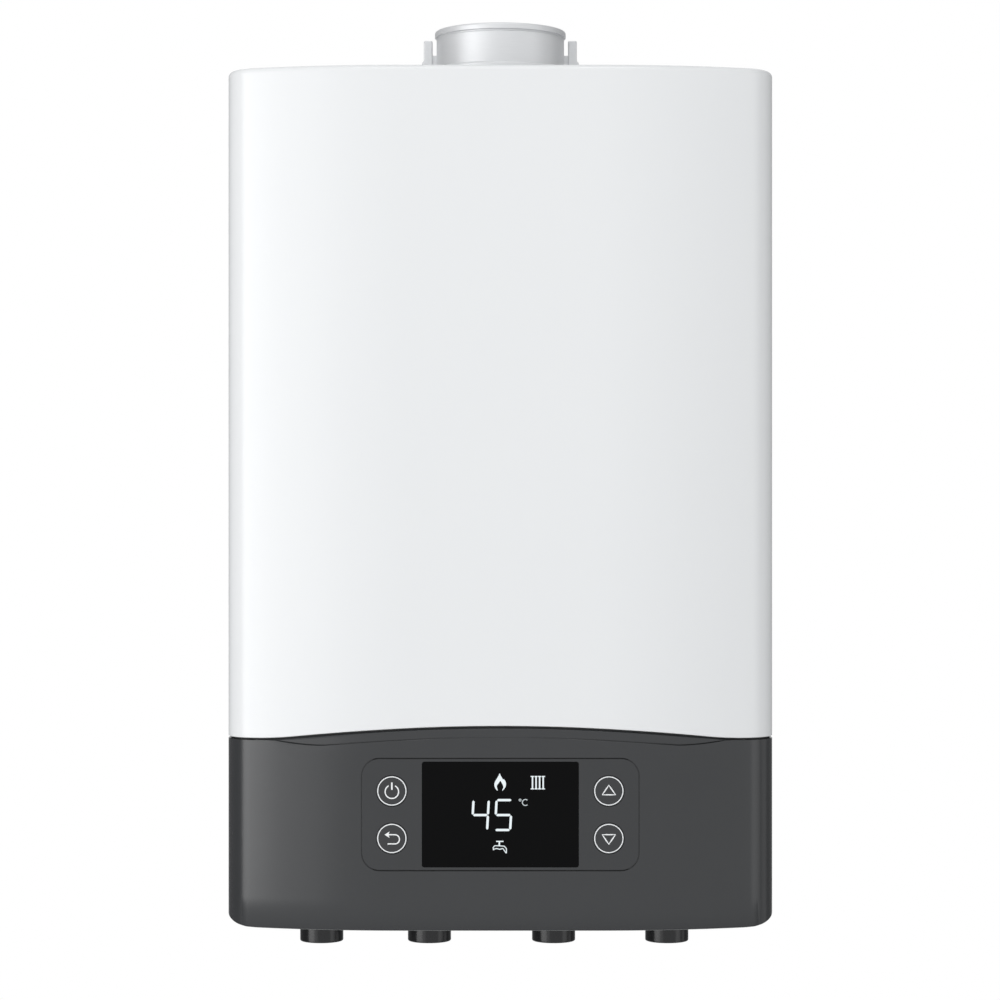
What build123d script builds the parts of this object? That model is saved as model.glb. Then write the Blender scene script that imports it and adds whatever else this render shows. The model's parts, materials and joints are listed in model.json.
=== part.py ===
from build123d import *
import math
import os

os.makedirs("parts", exist_ok=True)

# A wall-hung combination boiler, in millimetres.
# Origin on the wall plane, on the centre line, halfway up the casing.
# +X is right as seen from the front, +Y points into the wall, +Z is up.

# ---- driving dimensions of the casing ----
WIDTH = 440.0
HEIGHT = 688.0
DEPTH = 280.0
HALF_W = WIDTH / 2
TOP_Z = HEIGHT / 2
BOTTOM_Z = -HEIGHT / 2
FRONT_Y = -DEPTH
FLAT_HALF = 80.0            # the front is flat out to here, then bows back
SHOULDER_R = 385.0
CORNER_R = 30.0
SHOULDER_ANGLE = 18.05      # turn of each shoulder, in degrees
STEEL = 1.2
TOP_ROLL_R = 4.5
SEAM_Y = -175.0             # where the front half of the casing meets the rear half
SEAM_GAP = 1.2

CORNER_X = FLAT_HALF + (SHOULDER_R - CORNER_R) * math.sin(math.radians(SHOULDER_ANGLE))
CORNER_Y = FRONT_Y + SHOULDER_R - (SHOULDER_R - CORNER_R) * math.cos(math.radians(SHOULDER_ANGLE))

# ---- the arched joint between the white casing and the dark fascia ----
CREST_Z = -181.4
CREST_R = 1510.0
CREST_HALF = 165.0
TAIL_X = 200.0
JOINT_GAP = 1.5
CREST_ANGLE = math.degrees(math.asin(CREST_HALF / CREST_R))
TAIL_R = (TAIL_X - CREST_HALF) / math.sin(math.radians(CREST_ANGLE))
TAIL_Z = CREST_Z - (CREST_R + TAIL_R) * (1 - math.cos(math.radians(CREST_ANGLE)))

# ---- the dark lower band ----
PLASTIC = 3.6
FLOOR_THICK = 2.4
EDGE_RX = 25.0              # the lower corners, seen from the front, are quarter ellipses
EDGE_RZ = 10.0
HINGE_Y = -176.0
HINGE_Z = BOTTOM_Z + 4.5
HINGE_PIN_R = 2.0
HINGE_BORE_R = 2.05
KNUCKLE_R = 4.5
EAR_X = 196.5
EAR_THICK = 5.0
STRAP_X = 190.5
STRAP_THICK = 2.0
FLAP_REAR_Y = HINGE_Y - 1.0
SKIRT_WALL = 3.2
SKIRT_FRONT_Y = SEAM_Y - 0.5
SKIRT_FLOOR_Y = -170.0      # the skirt's floor stops short of the flap's swing

# ---- the finger grip in the top of the fascia ----
GRIP_HALF = 186.0
GRIP_LOW_X = 141.5          # the crease is lowest here, on either side
GRIP_MID_Z = BOTTOM_Z + 153.5
GRIP_LOW_Z = BOTTOM_Z + 146.8
GRIP_FALL = 1.7             # how sharply the crease falls from the middle to its low points
GRIP_END_X = 182.5          # out here the crease runs into the joint
GRIP_END_RISE = 4.0
GRIP_TILT = 0.22            # slope of the scooped face above the crease
GRIP_STATIONS = 12

# ---- control panel ----
PANEL_W = 221.3
PANEL_H = 90.0
PANEL_R = 14.7
PANEL_Z = -251.6
PANEL_GROOVE = 0.8
PANEL_THICK = 2.0
LEDGE = 5.0                 # the panel rests on a rim of this width
WINDOW_W = 124.3
WINDOW_H = 83.6
WINDOW_R = 2.0
WINDOW_THICK = 2.0
WINDOW_GAP = 0.3
KEY_X = 86.1
KEY_R = 12.3
KEY_GAP = 0.3
KEY_TOP_Z = -232.9
KEY_LOW_Z = -270.6
KEY_FLANGE_R = 13.2
KEY_FLANGE_Y = -277.2
KEY_BACK_Y = -276.2
BOARD_Y = -271.6
BOARD_THICK = 1.6

# ---- flue collar ----
FLUE_Y = -140.0
RIM_R = 55.0
RIM_H = 5.0
NECK_R = 53.6
COLLAR_BORE_R = 50.5
COLLAR_STOP_R = 49.0
COLLAR_STOP_RISE = 22.0
COLLAR_RISE = 47.3
BASE_R = 60.0
BASE_H = 15.0
FOOT_R = 66.0
FOOT_H = 3.0
SCREW_CIRCLE_R = 63.0
SCREW_HEAD_R = 2.8
SCREW_SHANK_R = 1.6
SPIGOT_R = 33.0
SPIGOT_BORE_R = 30.2
SPIGOT_TOP_Z = TOP_Z + 20.0
DUCT_R = 36.5
DUCT_BORE_R = 33.2
TOP_PLATE_HALF = 193.0
TOP_PLATE_THICK = 1.5
TOP_HOLE_R = 52.0

# ---- pipe connections under the casing ----
STUB_Y = -125.0
FLOW_X = -151.2
HOT_X = -60.0
COLD_X = 45.1
RETURN_X = 140.9
STUB_XS = (FLOW_X, HOT_X, COLD_X, RETURN_X)
STUB_R = 18.3
STUB_END_Z = -374.8
STUB_BORE_R = 14.4
TAIL_OUT_R = 14.0
PIPE22_R = 11.1
PIPE15_R = 7.6
SOCKET_DEPTH = 22.0
SOCKET_STEP = 1.1              # the bore narrows by this much behind a pipe socket
TAIL_END_Z = STUB_END_Z + 2.5
GAS_X = -8.0
GAS_TAIL_R = 13.2
GAS_END_Z = -360.0
OUTER_TAIL_LENGTH = 29.0       # full-size stretch of a tail, below the bottom plate
TAIL_STEP = 0.5                # a tail is this much slimmer where it passes the plate
BASE_PLATE_Z = -326.0
BASE_PLATE_THICK = 1.5
TAIL_TOP_Z = BASE_PLATE_Z + 6.0
BASE_PLATE_FRONT_Y = -164.0
TRAP_X = 170.0
TRAP_Y = -50.0
DRAIN_R = 10.7
SAFETY_X = 88.0
SAFETY_Z = -272.0
SAFETY_PIPE_Y = -145.0
DISCHARGE_R = 7.5
GLAND_X = -176.0
GLAND_Y = -55.0
GLAND_R = 8.0
GLAND_BORE_R = 4.0
FILL_X = 92.0
FILL_Y = -85.0
FILL_STEM_R = 4.45

# ---- wall fixing ----
BRACKET_HALF = 125.0
BRACKET_THICK = 3.0
BRACKET_DROP = 34.0         # how far the strip hangs below its shelf
SHELF_REACH = 6.0
LIP_RISE = 14.0
BRACKET_HOLE_X = 100.0
BRACKET_HOLE_R = 4.25
HOOK_Z = 300.0
BRACKET_HOLE_Z = HOOK_Z - 18.0
BACK_THICK = 1.5
BACK_HALF = 216.5

# ---- combustion side ----
EXCHANGER_Z = 160.0
EXCHANGER_R = 107.5
EXCHANGER_FRONT_Y = -218.0
EXCHANGER_REAR_Y = -100.0
CHAMBER_R = 82.0
DOOR_R = 98.0
DOOR_FRONT_Y = -236.0
DOOR_REAR_Y = -224.0
NUT_CIRCLE_R = 91.0
BURNER_R = 34.0
FAN_X = -45.0
FAN_Z = -30.0
FAN_R = 62.0
FAN_FRONT_Y = -250.0
FAN_REAR_Y = -204.0
FAN_SHAFT_R = 4.0
IMPELLER_R = 50.0
VESSEL_R = 160.0
VESSEL_Z = 95.0

# ---- water side ----
PUMP_X = 135.0
PUMP_Z = -205.0
PUMP_R = 45.0
PUMP_SHAFT_R = 4.0
PIPE_Y = -130.0
PIPE_R = 9.0
PIPE_BORE_R = 8.0
PLATES_Z = -252.0
SPINDLE_R = 3.0
DIVERTER_Z = -268.0
SHAFT_CLEAR = 0.05
SLIDE_CLEAR = 0.1


def front_y(x):
    """Depth of the bowed front at a distance x from the centre line."""
    bow = max(abs(x) - FLAT_HALF, 0.0)
    return FRONT_Y + SHOULDER_R - math.sqrt(SHOULDER_R**2 - bow**2)


def joint_z(x):
    """Height of the arched joint line at x."""
    if abs(x) <= CREST_HALF:
        return CREST_Z - CREST_R + math.sqrt(CREST_R**2 - x**2)
    if abs(x) <= TAIL_X:
        return TAIL_Z + TAIL_R - math.sqrt(TAIL_R**2 - (TAIL_X - abs(x)) ** 2)
    return TAIL_Z


def grip_z(x):
    """Height of the crease under the finger grip at x."""
    if abs(x) <= GRIP_LOW_X:
        return GRIP_MID_Z - (GRIP_MID_Z - GRIP_LOW_Z) * (abs(x) / GRIP_LOW_X) ** GRIP_FALL
    return GRIP_LOW_Z + GRIP_END_RISE * ((abs(x) - GRIP_LOW_X) / (GRIP_END_X - GRIP_LOW_X)) ** 2


def casing_outline(inset, rear_y, height):
    """Plan of the bowed casing, moved inwards by inset, closed at rear_y."""
    with BuildSketch(Plane.XY.offset(height)) as outline:
        with BuildLine():
            Line((0, FRONT_Y + inset), (FLAT_HALF, FRONT_Y + inset))
            shoulder_centre = (FLAT_HALF, FRONT_Y + SHOULDER_R)
            CenterArc(shoulder_centre, SHOULDER_R - inset, -90, SHOULDER_ANGLE)
            CenterArc((CORNER_X, CORNER_Y), CORNER_R - inset, SHOULDER_ANGLE - 90, 90 - SHOULDER_ANGLE)
            Line((CORNER_X + CORNER_R - inset, CORNER_Y), (CORNER_X + CORNER_R - inset, rear_y))
            Line((CORNER_X + CORNER_R - inset, rear_y), (0, rear_y))
            mirror(about=Plane.YZ)
        make_face()
    return outline.sketch


def joint_edges(lowered):
    """The right half of the joint line, drawn in an elevation sketch."""
    CenterArc((0, CREST_Z - CREST_R - lowered), CREST_R, 90, -CREST_ANGLE)
    CenterArc((TAIL_X, TAIL_Z + TAIL_R - lowered), TAIL_R, 270 - CREST_ANGLE, CREST_ANGLE)


def above_joint():
    """Elevation of everything above the joint line."""
    side = HALF_W + 5
    ceiling = TOP_Z + 5
    with BuildSketch(Plane.XZ) as region:
        with BuildLine():
            joint_edges(0)
            Line((TAIL_X, TAIL_Z), (side, TAIL_Z))
            Line((side, TAIL_Z), (side, ceiling))
            Line((side, ceiling), (0, ceiling))
            mirror(about=Plane.YZ)
        make_face()
    return region.sketch


def below_joint(inset, lowered):
    """Elevation of the fascia, with elliptical lower corners, moved inwards by inset."""
    side = HALF_W - inset
    floor_z = BOTTOM_Z + (FLOOR_THICK if inset else 0)
    corner = (HALF_W - EDGE_RX, BOTTOM_Z + EDGE_RZ)
    with BuildSketch(Plane.XZ) as region:
        with BuildLine():
            joint_edges(lowered)
            Line((TAIL_X, TAIL_Z - lowered), (side, TAIL_Z - lowered))
            Line((side, TAIL_Z - lowered), (side, corner[1]))
            EllipticalCenterArc(corner, side - corner[0], corner[1] - floor_z, start_angle=270, arc_size=90)
            Line((corner[0], floor_z), (0, floor_z))
            mirror(about=Plane.YZ)
        make_face()
    return region.sketch


def pipe_run(points, bend, outer_r, bore_r):
    """A bent tube along a route of straight runs and tangent arcs."""
    with BuildPart() as run:
        with BuildLine() as path:
            FilletPolyline(*points, radius=bend)
        start = Plane(origin=path.line @ 0, z_dir=path.line % 0)
        with BuildSketch(start):
            Circle(outer_r)
            Circle(bore_r, mode=Mode.SUBTRACT)
        sweep()
    return run.part


def rod(centre, radius, length, direction):
    """A round bar from a centre point along a direction."""
    with BuildPart() as bar:
        with BuildSketch(Plane(origin=centre, z_dir=direction)):
            Circle(radius)
        extrude(amount=length)
    return bar.part


def block(low, high):
    """A rectangular block between two opposite corners."""
    size = [high[i] - low[i] for i in range(3)]
    middle = tuple((high[i] + low[i]) / 2 for i in range(3))
    with BuildPart() as solid:
        with Locations(middle):
            Box(*size)
    return solid.part


TO_FRONT = (0, -1, 0)
TO_WALL = (0, 1, 0)
UP = (0, 0, 1)
DOWN = (0, 0, -1)

# ======================= chassis =======================

# Back frame: a steel sheet with a window for the wall bracket, two side rails
# and the cross member that carries the heat exchanger.
RAIL_X = 194.0
RAIL_THICK = 1.5
RAIL_FRONT_Y = -100.0
RAIL_FLANGE = 16.0
CROSS_THICK = 2.0
CROSS_H = 130.0
CROSS_HOLE_R = 40.0
FRAME_TOP_Z = TOP_Z - TOP_PLATE_THICK
BACK_LOW_Z = BASE_PLATE_Z - 4.0
HOOK_WINDOW_H = 40.0
HOOK_WINDOW_SPARE = 5.0
rail_middle_z = (FRAME_TOP_Z + BASE_PLATE_Z) / 2
rail_height = FRAME_TOP_Z - BASE_PLATE_Z
with BuildPart() as back_frame:
    with BuildSketch(Plane.XZ):
        with Locations((0, (FRAME_TOP_Z + BACK_LOW_Z) / 2)):
            Rectangle(2 * BACK_HALF, FRAME_TOP_Z - BACK_LOW_Z)
        with Locations((0, HOOK_Z + BRACKET_THICK - HOOK_WINDOW_H / 2)):
            Rectangle(2 * (BRACKET_HALF + HOOK_WINDOW_SPARE), HOOK_WINDOW_H, mode=Mode.SUBTRACT)
    extrude(amount=BACK_THICK)
    for side in (-1, 1):
        with Locations((side * RAIL_X, RAIL_FRONT_Y / 2, rail_middle_z)):
            Box(RAIL_THICK, -RAIL_FRONT_Y, rail_height)
        with Locations((side * (RAIL_X - RAIL_FLANGE / 2), RAIL_FRONT_Y + CROSS_THICK / 2, rail_middle_z)):
            Box(RAIL_FLANGE, CROSS_THICK, rail_height)
    with BuildSketch(Plane.XZ.offset(-RAIL_FRONT_Y - CROSS_THICK)):
        with Locations((0, EXCHANGER_Z)):
            Rectangle(2 * (RAIL_X - 10), CROSS_H)
            Circle(CROSS_HOLE_R, mode=Mode.SUBTRACT)
    extrude(amount=CROSS_THICK)
back_frame.part.label = "back_frame"
export_step(back_frame.part, "parts/back_frame.step")

# Wall bracket: a strip with a shelf and an upturned lip that the back frame hooks over.
with BuildPart() as wall_bracket:
    with BuildSketch(Plane.YZ.offset(-BRACKET_HALF)):
        with BuildLine():
            Polyline(
                (0, HOOK_Z - BRACKET_DROP),
                (0, HOOK_Z + BRACKET_THICK),
                (-SHELF_REACH, HOOK_Z + BRACKET_THICK),
                (-SHELF_REACH, HOOK_Z + LIP_RISE),
                (-SHELF_REACH - BRACKET_THICK, HOOK_Z + LIP_RISE),
                (-SHELF_REACH - BRACKET_THICK, HOOK_Z),
                (-BRACKET_THICK, HOOK_Z),
                (-BRACKET_THICK, HOOK_Z - BRACKET_DROP),
                close=True,
            )
        make_face()
    extrude(amount=2 * BRACKET_HALF)
    for side in (-1, 1):
        with Locations(Location((side * BRACKET_HOLE_X, -BRACKET_THICK / 2, BRACKET_HOLE_Z), (90, 0, 0))):
            Cylinder(BRACKET_HOLE_R, 3 * BRACKET_THICK, mode=Mode.SUBTRACT)
wall_bracket.part.label = "wall_bracket"
export_step(wall_bracket.part, "parts/wall_bracket.step")

# Side panel: a sheet with a rolled top edge and folded front and rear flanges.
PANEL_REAR_Y = -BACK_THICK
PANEL_FRONT_Y = SEAM_Y + SEAM_GAP
FLANGE = 12.0               # width of the folded flanges at the seam
FLANGE_X = HALF_W - STEEL - FLANGE / 2
with BuildPart() as side_panel_right:
    with BuildSketch(Plane.XZ):
        with BuildLine():
            Line((HALF_W, TAIL_Z), (HALF_W, TOP_Z - TOP_ROLL_R))
            CenterArc((HALF_W - TOP_ROLL_R, TOP_Z - TOP_ROLL_R), TOP_ROLL_R, 0, 90)
            Line((HALF_W - TOP_ROLL_R, TOP_Z), (TOP_PLATE_HALF + 1, TOP_Z))
            Line((TOP_PLATE_HALF + 1, TOP_Z), (TOP_PLATE_HALF + 1, TOP_Z - STEEL))
            Line((TOP_PLATE_HALF + 1, TOP_Z - STEEL), (HALF_W - TOP_ROLL_R, TOP_Z - STEEL))
            CenterArc((HALF_W - TOP_ROLL_R, TOP_Z - TOP_ROLL_R), TOP_ROLL_R - STEEL, 90, -90)
            Line((HALF_W - STEEL, TOP_Z - TOP_ROLL_R), (HALF_W - STEEL, TAIL_Z))
            Line((HALF_W - STEEL, TAIL_Z), (HALF_W, TAIL_Z))
        make_face()
    extrude(amount=-PANEL_FRONT_Y)
    for flange_y in (PANEL_REAR_Y - STEEL / 2, PANEL_FRONT_Y + STEEL / 2):
        with Locations((FLANGE_X, flange_y, (TOP_Z - 4 + TAIL_Z) / 2)):
            Box(FLANGE, STEEL, TOP_Z - 4 - TAIL_Z)
side_panel_right.part.label = "side_panel_right"
export_step(side_panel_right.part, "parts/side_panel_right.step")

with BuildPart() as side_panel_left:
    mirror(side_panel_right.part, about=Plane.YZ)
side_panel_left.part.label = "side_panel_left"
export_step(side_panel_left.part, "parts/side_panel_left.step")

# Top plate: fills the top inside the rolled edges and carries the flue.
with BuildPart() as top_plate:
    extrude(casing_outline(HALF_W - TOP_PLATE_HALF, 0, TOP_Z - TOP_PLATE_THICK), amount=TOP_PLATE_THICK)
    with Locations((0, FLUE_Y, TOP_Z)):
        Cylinder(TOP_HOLE_R, 10, mode=Mode.SUBTRACT)
top_plate.part.label = "top_plate"
export_step(top_plate.part, "parts/top_plate.step")

# Bottom plate: pipe holes, plus the two folded straps that carry the hinge pins.
STRAP_REAR_Y = -152.0
PIPE_CLEAR = 0.3            # room round a pipe or stem in the bottom plate
with BuildPart() as bottom_plate:
    with BuildSketch(Plane.XY.offset(BASE_PLATE_Z - BASE_PLATE_THICK)):
        with Locations((0, (BASE_PLATE_FRONT_Y - BACK_THICK) / 2)):
            Rectangle(WIDTH - 2 * SKIRT_WALL, -BASE_PLATE_FRONT_Y - BACK_THICK)
        with Locations(*[(x, STUB_Y) for x in STUB_XS]):
            Circle(TAIL_OUT_R + PIPE_CLEAR, mode=Mode.SUBTRACT)
        with Locations((GAS_X, STUB_Y)):
            Circle(GAS_TAIL_R + PIPE_CLEAR, mode=Mode.SUBTRACT)
        with Locations((TRAP_X, TRAP_Y)):
            Circle(DRAIN_R + PIPE_CLEAR, mode=Mode.SUBTRACT)
        with Locations((SAFETY_X, SAFETY_PIPE_Y)):
            Circle(DISCHARGE_R + PIPE_CLEAR, mode=Mode.SUBTRACT)
        with Locations((GLAND_X, GLAND_Y)):
            Circle(GLAND_R + 0.2, mode=Mode.SUBTRACT)
        with Locations((FILL_X, FILL_Y)):
            Circle(FILL_STEM_R + SHAFT_CLEAR, mode=Mode.SUBTRACT)
    extrude(amount=BASE_PLATE_THICK)
    for side in (-1, 1):
        with BuildSketch(Plane.YZ.offset(side * STRAP_X - STRAP_THICK / 2)):
            with BuildLine():
                Polyline(
                    (HINGE_Y, HINGE_Z - KNUCKLE_R),
                    (STRAP_REAR_Y, HINGE_Z - KNUCKLE_R),
                    (STRAP_REAR_Y, BASE_PLATE_Z),
                    (BASE_PLATE_FRONT_Y, BASE_PLATE_Z),
                    (BASE_PLATE_FRONT_Y, HINGE_Z + KNUCKLE_R),
                    (HINGE_Y, HINGE_Z + KNUCKLE_R),
                )
                CenterArc((HINGE_Y, HINGE_Z), KNUCKLE_R, 90, 180)
            make_face()
            with Locations((HINGE_Y, HINGE_Z)):
                Circle(HINGE_PIN_R, mode=Mode.SUBTRACT)
        extrude(amount=STRAP_THICK)
bottom_plate.part.label = "bottom_plate"
export_step(bottom_plate.part, "parts/bottom_plate.step")

# Hinge pins, riveted into the straps; the flap's ears turn on them.
PIN_HEAD_R = 3.2
PIN_HEAD_THICK = 1.5
with BuildPart() as hinge_pins:
    for side in (-1, 1):
        inner_x = side * (STRAP_X - STRAP_THICK / 2)
        with BuildSketch(Plane(origin=(inner_x, HINGE_Y, HINGE_Z), z_dir=(side, 0, 0))):
            Circle(HINGE_PIN_R)
        extrude(amount=EAR_X + EAR_THICK / 2 + 1 - abs(inner_x))
        with BuildSketch(Plane(origin=(inner_x, HINGE_Y, HINGE_Z), z_dir=(-side, 0, 0))):
            Circle(PIN_HEAD_R)
        extrude(amount=PIN_HEAD_THICK)
hinge_pins.part.label = "hinge_pins"
export_step(hinge_pins.part, "parts/hinge_pins.step")

# Lower skirts: the fixed rear half of the dark band, one on each side.
SKIRT_FLOOR_X = 192.0
SKIRT_TOP_Z = TAIL_Z - JOINT_GAP
with BuildPart() as lower_skirt_right:
    with BuildSketch(Plane.XZ):
        with BuildLine():
            corner_x = HALF_W - EDGE_RX
            corner_z = BOTTOM_Z + EDGE_RZ
            Line((HALF_W, SKIRT_TOP_Z), (HALF_W, corner_z))
            EllipticalCenterArc((corner_x, corner_z), EDGE_RX, EDGE_RZ, start_angle=270, arc_size=90)
            Line((corner_x, BOTTOM_Z), (SKIRT_FLOOR_X, BOTTOM_Z))
            Line((SKIRT_FLOOR_X, BOTTOM_Z), (SKIRT_FLOOR_X, BOTTOM_Z + FLOOR_THICK))
            Line((SKIRT_FLOOR_X, BOTTOM_Z + FLOOR_THICK), (corner_x, BOTTOM_Z + FLOOR_THICK))
            inner_rx = EDGE_RX - SKIRT_WALL
            inner_rz = EDGE_RZ - FLOOR_THICK
            EllipticalCenterArc((corner_x, corner_z), inner_rx, inner_rz, start_angle=270, arc_size=90)
            Line((HALF_W - SKIRT_WALL, corner_z), (HALF_W - SKIRT_WALL, SKIRT_TOP_Z))
            Line((HALF_W - SKIRT_WALL, SKIRT_TOP_Z), (HALF_W, SKIRT_TOP_Z))
        make_face()
    extrude(amount=-SKIRT_FRONT_Y)
    with Locations((HALF_W - 15, SKIRT_FRONT_Y, BOTTOM_Z)):
        Box(40, 2 * (SKIRT_FLOOR_Y - SKIRT_FRONT_Y), 2 * EDGE_RZ, mode=Mode.SUBTRACT)
    with Locations((HALF_W - SKIRT_WALL - 6, SKIRT_FRONT_Y + 4, (SKIRT_TOP_Z + BASE_PLATE_Z) / 2)):
        Box(12, 2, SKIRT_TOP_Z - BASE_PLATE_Z - 4)
lower_skirt_right.part.label = "lower_skirt_right"
export_step(lower_skirt_right.part, "parts/lower_skirt_right.step")

with BuildPart() as lower_skirt_left:
    mirror(lower_skirt_right.part, about=Plane.YZ)
lower_skirt_left.part.label = "lower_skirt_left"
export_step(lower_skirt_left.part, "parts/lower_skirt_left.step")

# Foam seal on the front flanges of the side panels.
SEAL_THICK = 1.5
SEAL_WIDTH = 8.0
with BuildPart() as casing_seal:
    for side in (-1, 1):
        with Locations((side * FLANGE_X, PANEL_FRONT_Y - SEAL_THICK / 2, (TOP_Z - 6 + TAIL_Z) / 2)):
            Box(SEAL_WIDTH, SEAL_THICK, TOP_Z - 12 - TAIL_Z)
casing_seal.part.label = "casing_seal"
export_step(casing_seal.part, "parts/casing_seal.step")

# Spring clips that grip the flap's two tongues when it is shut.
CATCH_X = 180.0
CATCH_Z = -225.0
TONGUE_HALF = 0.8
TONGUE_PLAY = 0.3
TONGUE_H = 6.0
CATCH_LEG = 0.8
CATCH_H = 8.0
CATCH_REACH = 12.0
CATCH_FOOT = 34.0           # the foot runs out to the flange of the skirt
with BuildPart() as flap_catches:
    for side in (-1, 1):
        for leg in (-1, 1):
            leg_x = side * CATCH_X + leg * (TONGUE_HALF + TONGUE_PLAY + CATCH_LEG / 2)
            with Locations((leg_x, SKIRT_FRONT_Y + 2 - CATCH_REACH / 2, CATCH_Z)):
                Box(CATCH_LEG, CATCH_REACH, CATCH_H)
        with Locations((side * (CATCH_X + 13), SKIRT_FRONT_Y + 2.5, CATCH_Z)):
            Box(CATCH_FOOT, 1, CATCH_H)
flap_catches.part.label = "flap_catches"
export_step(flap_catches.part, "parts/flap_catches.step")

# ======================= front casing =======================

# One pressed steel shell: bowed front, corner returns and a rolled top edge.
CASING_REAR_Y = SEAM_Y - SEAM_GAP / 2
TOP_RETURN = 26.5
with BuildPart() as casing_core:
    core_height = TOP_Z - STEEL - BOTTOM_Z
    extrude(casing_outline(STEEL, CASING_REAR_Y + 5, BOTTOM_Z), amount=core_height)
    core_rim = casing_core.faces().sort_by(Axis.Z)[-1].edges()
    fillet(core_rim.filter_by_position(Axis.Y, FRONT_Y - 1, CASING_REAR_Y + 2), TOP_ROLL_R - STEEL)
with BuildPart() as front_casing:
    extrude(casing_outline(0, CASING_REAR_Y, BOTTOM_Z), amount=HEIGHT)
    rim = front_casing.faces().sort_by(Axis.Z)[-1].edges()
    fillet(rim.filter_by_position(Axis.Y, FRONT_Y - 1, CASING_REAR_Y - 1), TOP_ROLL_R)
    add(casing_core.part, mode=Mode.SUBTRACT)
    extrude(casing_outline(TOP_RETURN, CASING_REAR_Y + 5, TOP_Z - 10), amount=20, mode=Mode.SUBTRACT)
    for side in (-1, 1):
        with Locations((side * FLANGE_X, CASING_REAR_Y - STEEL / 2, (TOP_Z - 6 + TAIL_Z) / 2)):
            Box(FLANGE, STEEL, TOP_Z - 6 - TAIL_Z)
    extrude(above_joint(), amount=DEPTH + 10, mode=Mode.INTERSECT)
front_casing.part.label = "front_casing"
export_step(front_casing.part, "parts/front_casing.step")

# ======================= flue =======================

# Flue collar: base ring, neck, rolled rim and two L-shaped lugs.
LUG_IN = 57.0
LUG_OUT = 64.3
LUG_THICK = 7.0
with BuildPart() as flue_collar:
    with BuildSketch(Plane.XZ.offset(-FLUE_Y)):
        with BuildLine():
            rim_top = TOP_Z + COLLAR_RISE
            rim_low = rim_top - RIM_H
            stop_z = TOP_Z + COLLAR_STOP_RISE
            Line((COLLAR_STOP_R, TOP_Z), (FOOT_R, TOP_Z))
            Line((FOOT_R, TOP_Z), (FOOT_R, TOP_Z + FOOT_H))
            Line((FOOT_R, TOP_Z + FOOT_H), (BASE_R, TOP_Z + FOOT_H))
            Line((BASE_R, TOP_Z + FOOT_H), (BASE_R, TOP_Z + BASE_H - 2))
            Line((BASE_R, TOP_Z + BASE_H - 2), (BASE_R - 2, TOP_Z + BASE_H))
            Line((BASE_R - 2, TOP_Z + BASE_H), (NECK_R, TOP_Z + BASE_H))
            Line((NECK_R, TOP_Z + BASE_H), (NECK_R, rim_low - 1.4))
            Line((NECK_R, rim_low - 1.4), (RIM_R, rim_low))
            Line((RIM_R, rim_low), (RIM_R, rim_top - 1.5))
            CenterArc((RIM_R - 1.5, rim_top - 1.5), 1.5, 0, 90)
            Line((RIM_R - 1.5, rim_top), (COLLAR_BORE_R + 1, rim_top))
            Line((COLLAR_BORE_R + 1, rim_top), (COLLAR_BORE_R, rim_top - 1))
            Line((COLLAR_BORE_R, rim_top - 1), (COLLAR_BORE_R, stop_z))
            Line((COLLAR_BORE_R, stop_z), (COLLAR_STOP_R, stop_z))
            Line((COLLAR_STOP_R, stop_z), (COLLAR_STOP_R, TOP_Z))
        make_face()
    revolve(axis=Axis((0, FLUE_Y, 0), (0, 0, 1)))
    for side in (-1, 1):
        with BuildSketch(Plane.XZ.offset(-FLUE_Y - LUG_THICK / 2)):
            with BuildLine():
                Polyline(
                    (side * (NECK_R - 1), TOP_Z + BASE_H - 1),
                    (side * (LUG_OUT + 1.6), TOP_Z + BASE_H - 1),
                    (side * (LUG_OUT + 1.6), TOP_Z + 21.5),
                    (side * LUG_OUT, TOP_Z + 23),
                    (side * LUG_OUT, TOP_Z + 39),
                    (side * (LUG_OUT - 1), TOP_Z + 40),
                    (side * (LUG_IN + 1), TOP_Z + 40),
                    (side * LUG_IN, TOP_Z + 39),
                    (side * LUG_IN, TOP_Z + 27.8),
                    (side * (NECK_R - 1), TOP_Z + 27.8),
                    close=True,
                )
            make_face()
        extrude(amount=LUG_THICK)
        with Locations((side * (BASE_R + 2), FLUE_Y, TOP_Z + 9)):
            Box(7.6, LUG_THICK, 14)
    with Locations((0, FLUE_Y, TOP_Z)):
        with PolarLocations(SCREW_CIRCLE_R, 4, start_angle=45):
            Cylinder(SCREW_SHANK_R + 0.1, 20, mode=Mode.SUBTRACT)
flue_collar.part.label = "flue_collar"
export_step(flue_collar.part, "parts/flue_collar.step")

# Inner flue spigot, held in the collar by three webs, with a groove for its lip seal.
SEAL_LOW_Z = SPIGOT_TOP_Z - 12
SEAL_H = 5.0
SEAL_R = 31.6
SPIGOT_LOW_Z = 320.0
with BuildPart() as flue_spigot:
    with BuildSketch(Plane.XY.offset(SPIGOT_LOW_Z)):
        with Locations((0, FLUE_Y)):
            Circle(SPIGOT_R)
            Circle(SPIGOT_BORE_R, mode=Mode.SUBTRACT)
    extrude(amount=SPIGOT_TOP_Z - SPIGOT_LOW_Z)
    with BuildSketch(Plane.XY.offset(SEAL_LOW_Z)):
        with Locations((0, FLUE_Y)):
            Circle(SEAL_R)
    extrude(amount=SEAL_H, mode=Mode.SUBTRACT)
    with Locations((0, FLUE_Y, TOP_Z + 5)):
        with PolarLocations((SPIGOT_R + COLLAR_STOP_R) / 2 - 0.3, 3, start_angle=90):
            Box(COLLAR_STOP_R - SPIGOT_R + 0.5, 3, 8)
flue_spigot.part.label = "flue_spigot"
export_step(flue_spigot.part, "parts/flue_spigot.step")

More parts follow.
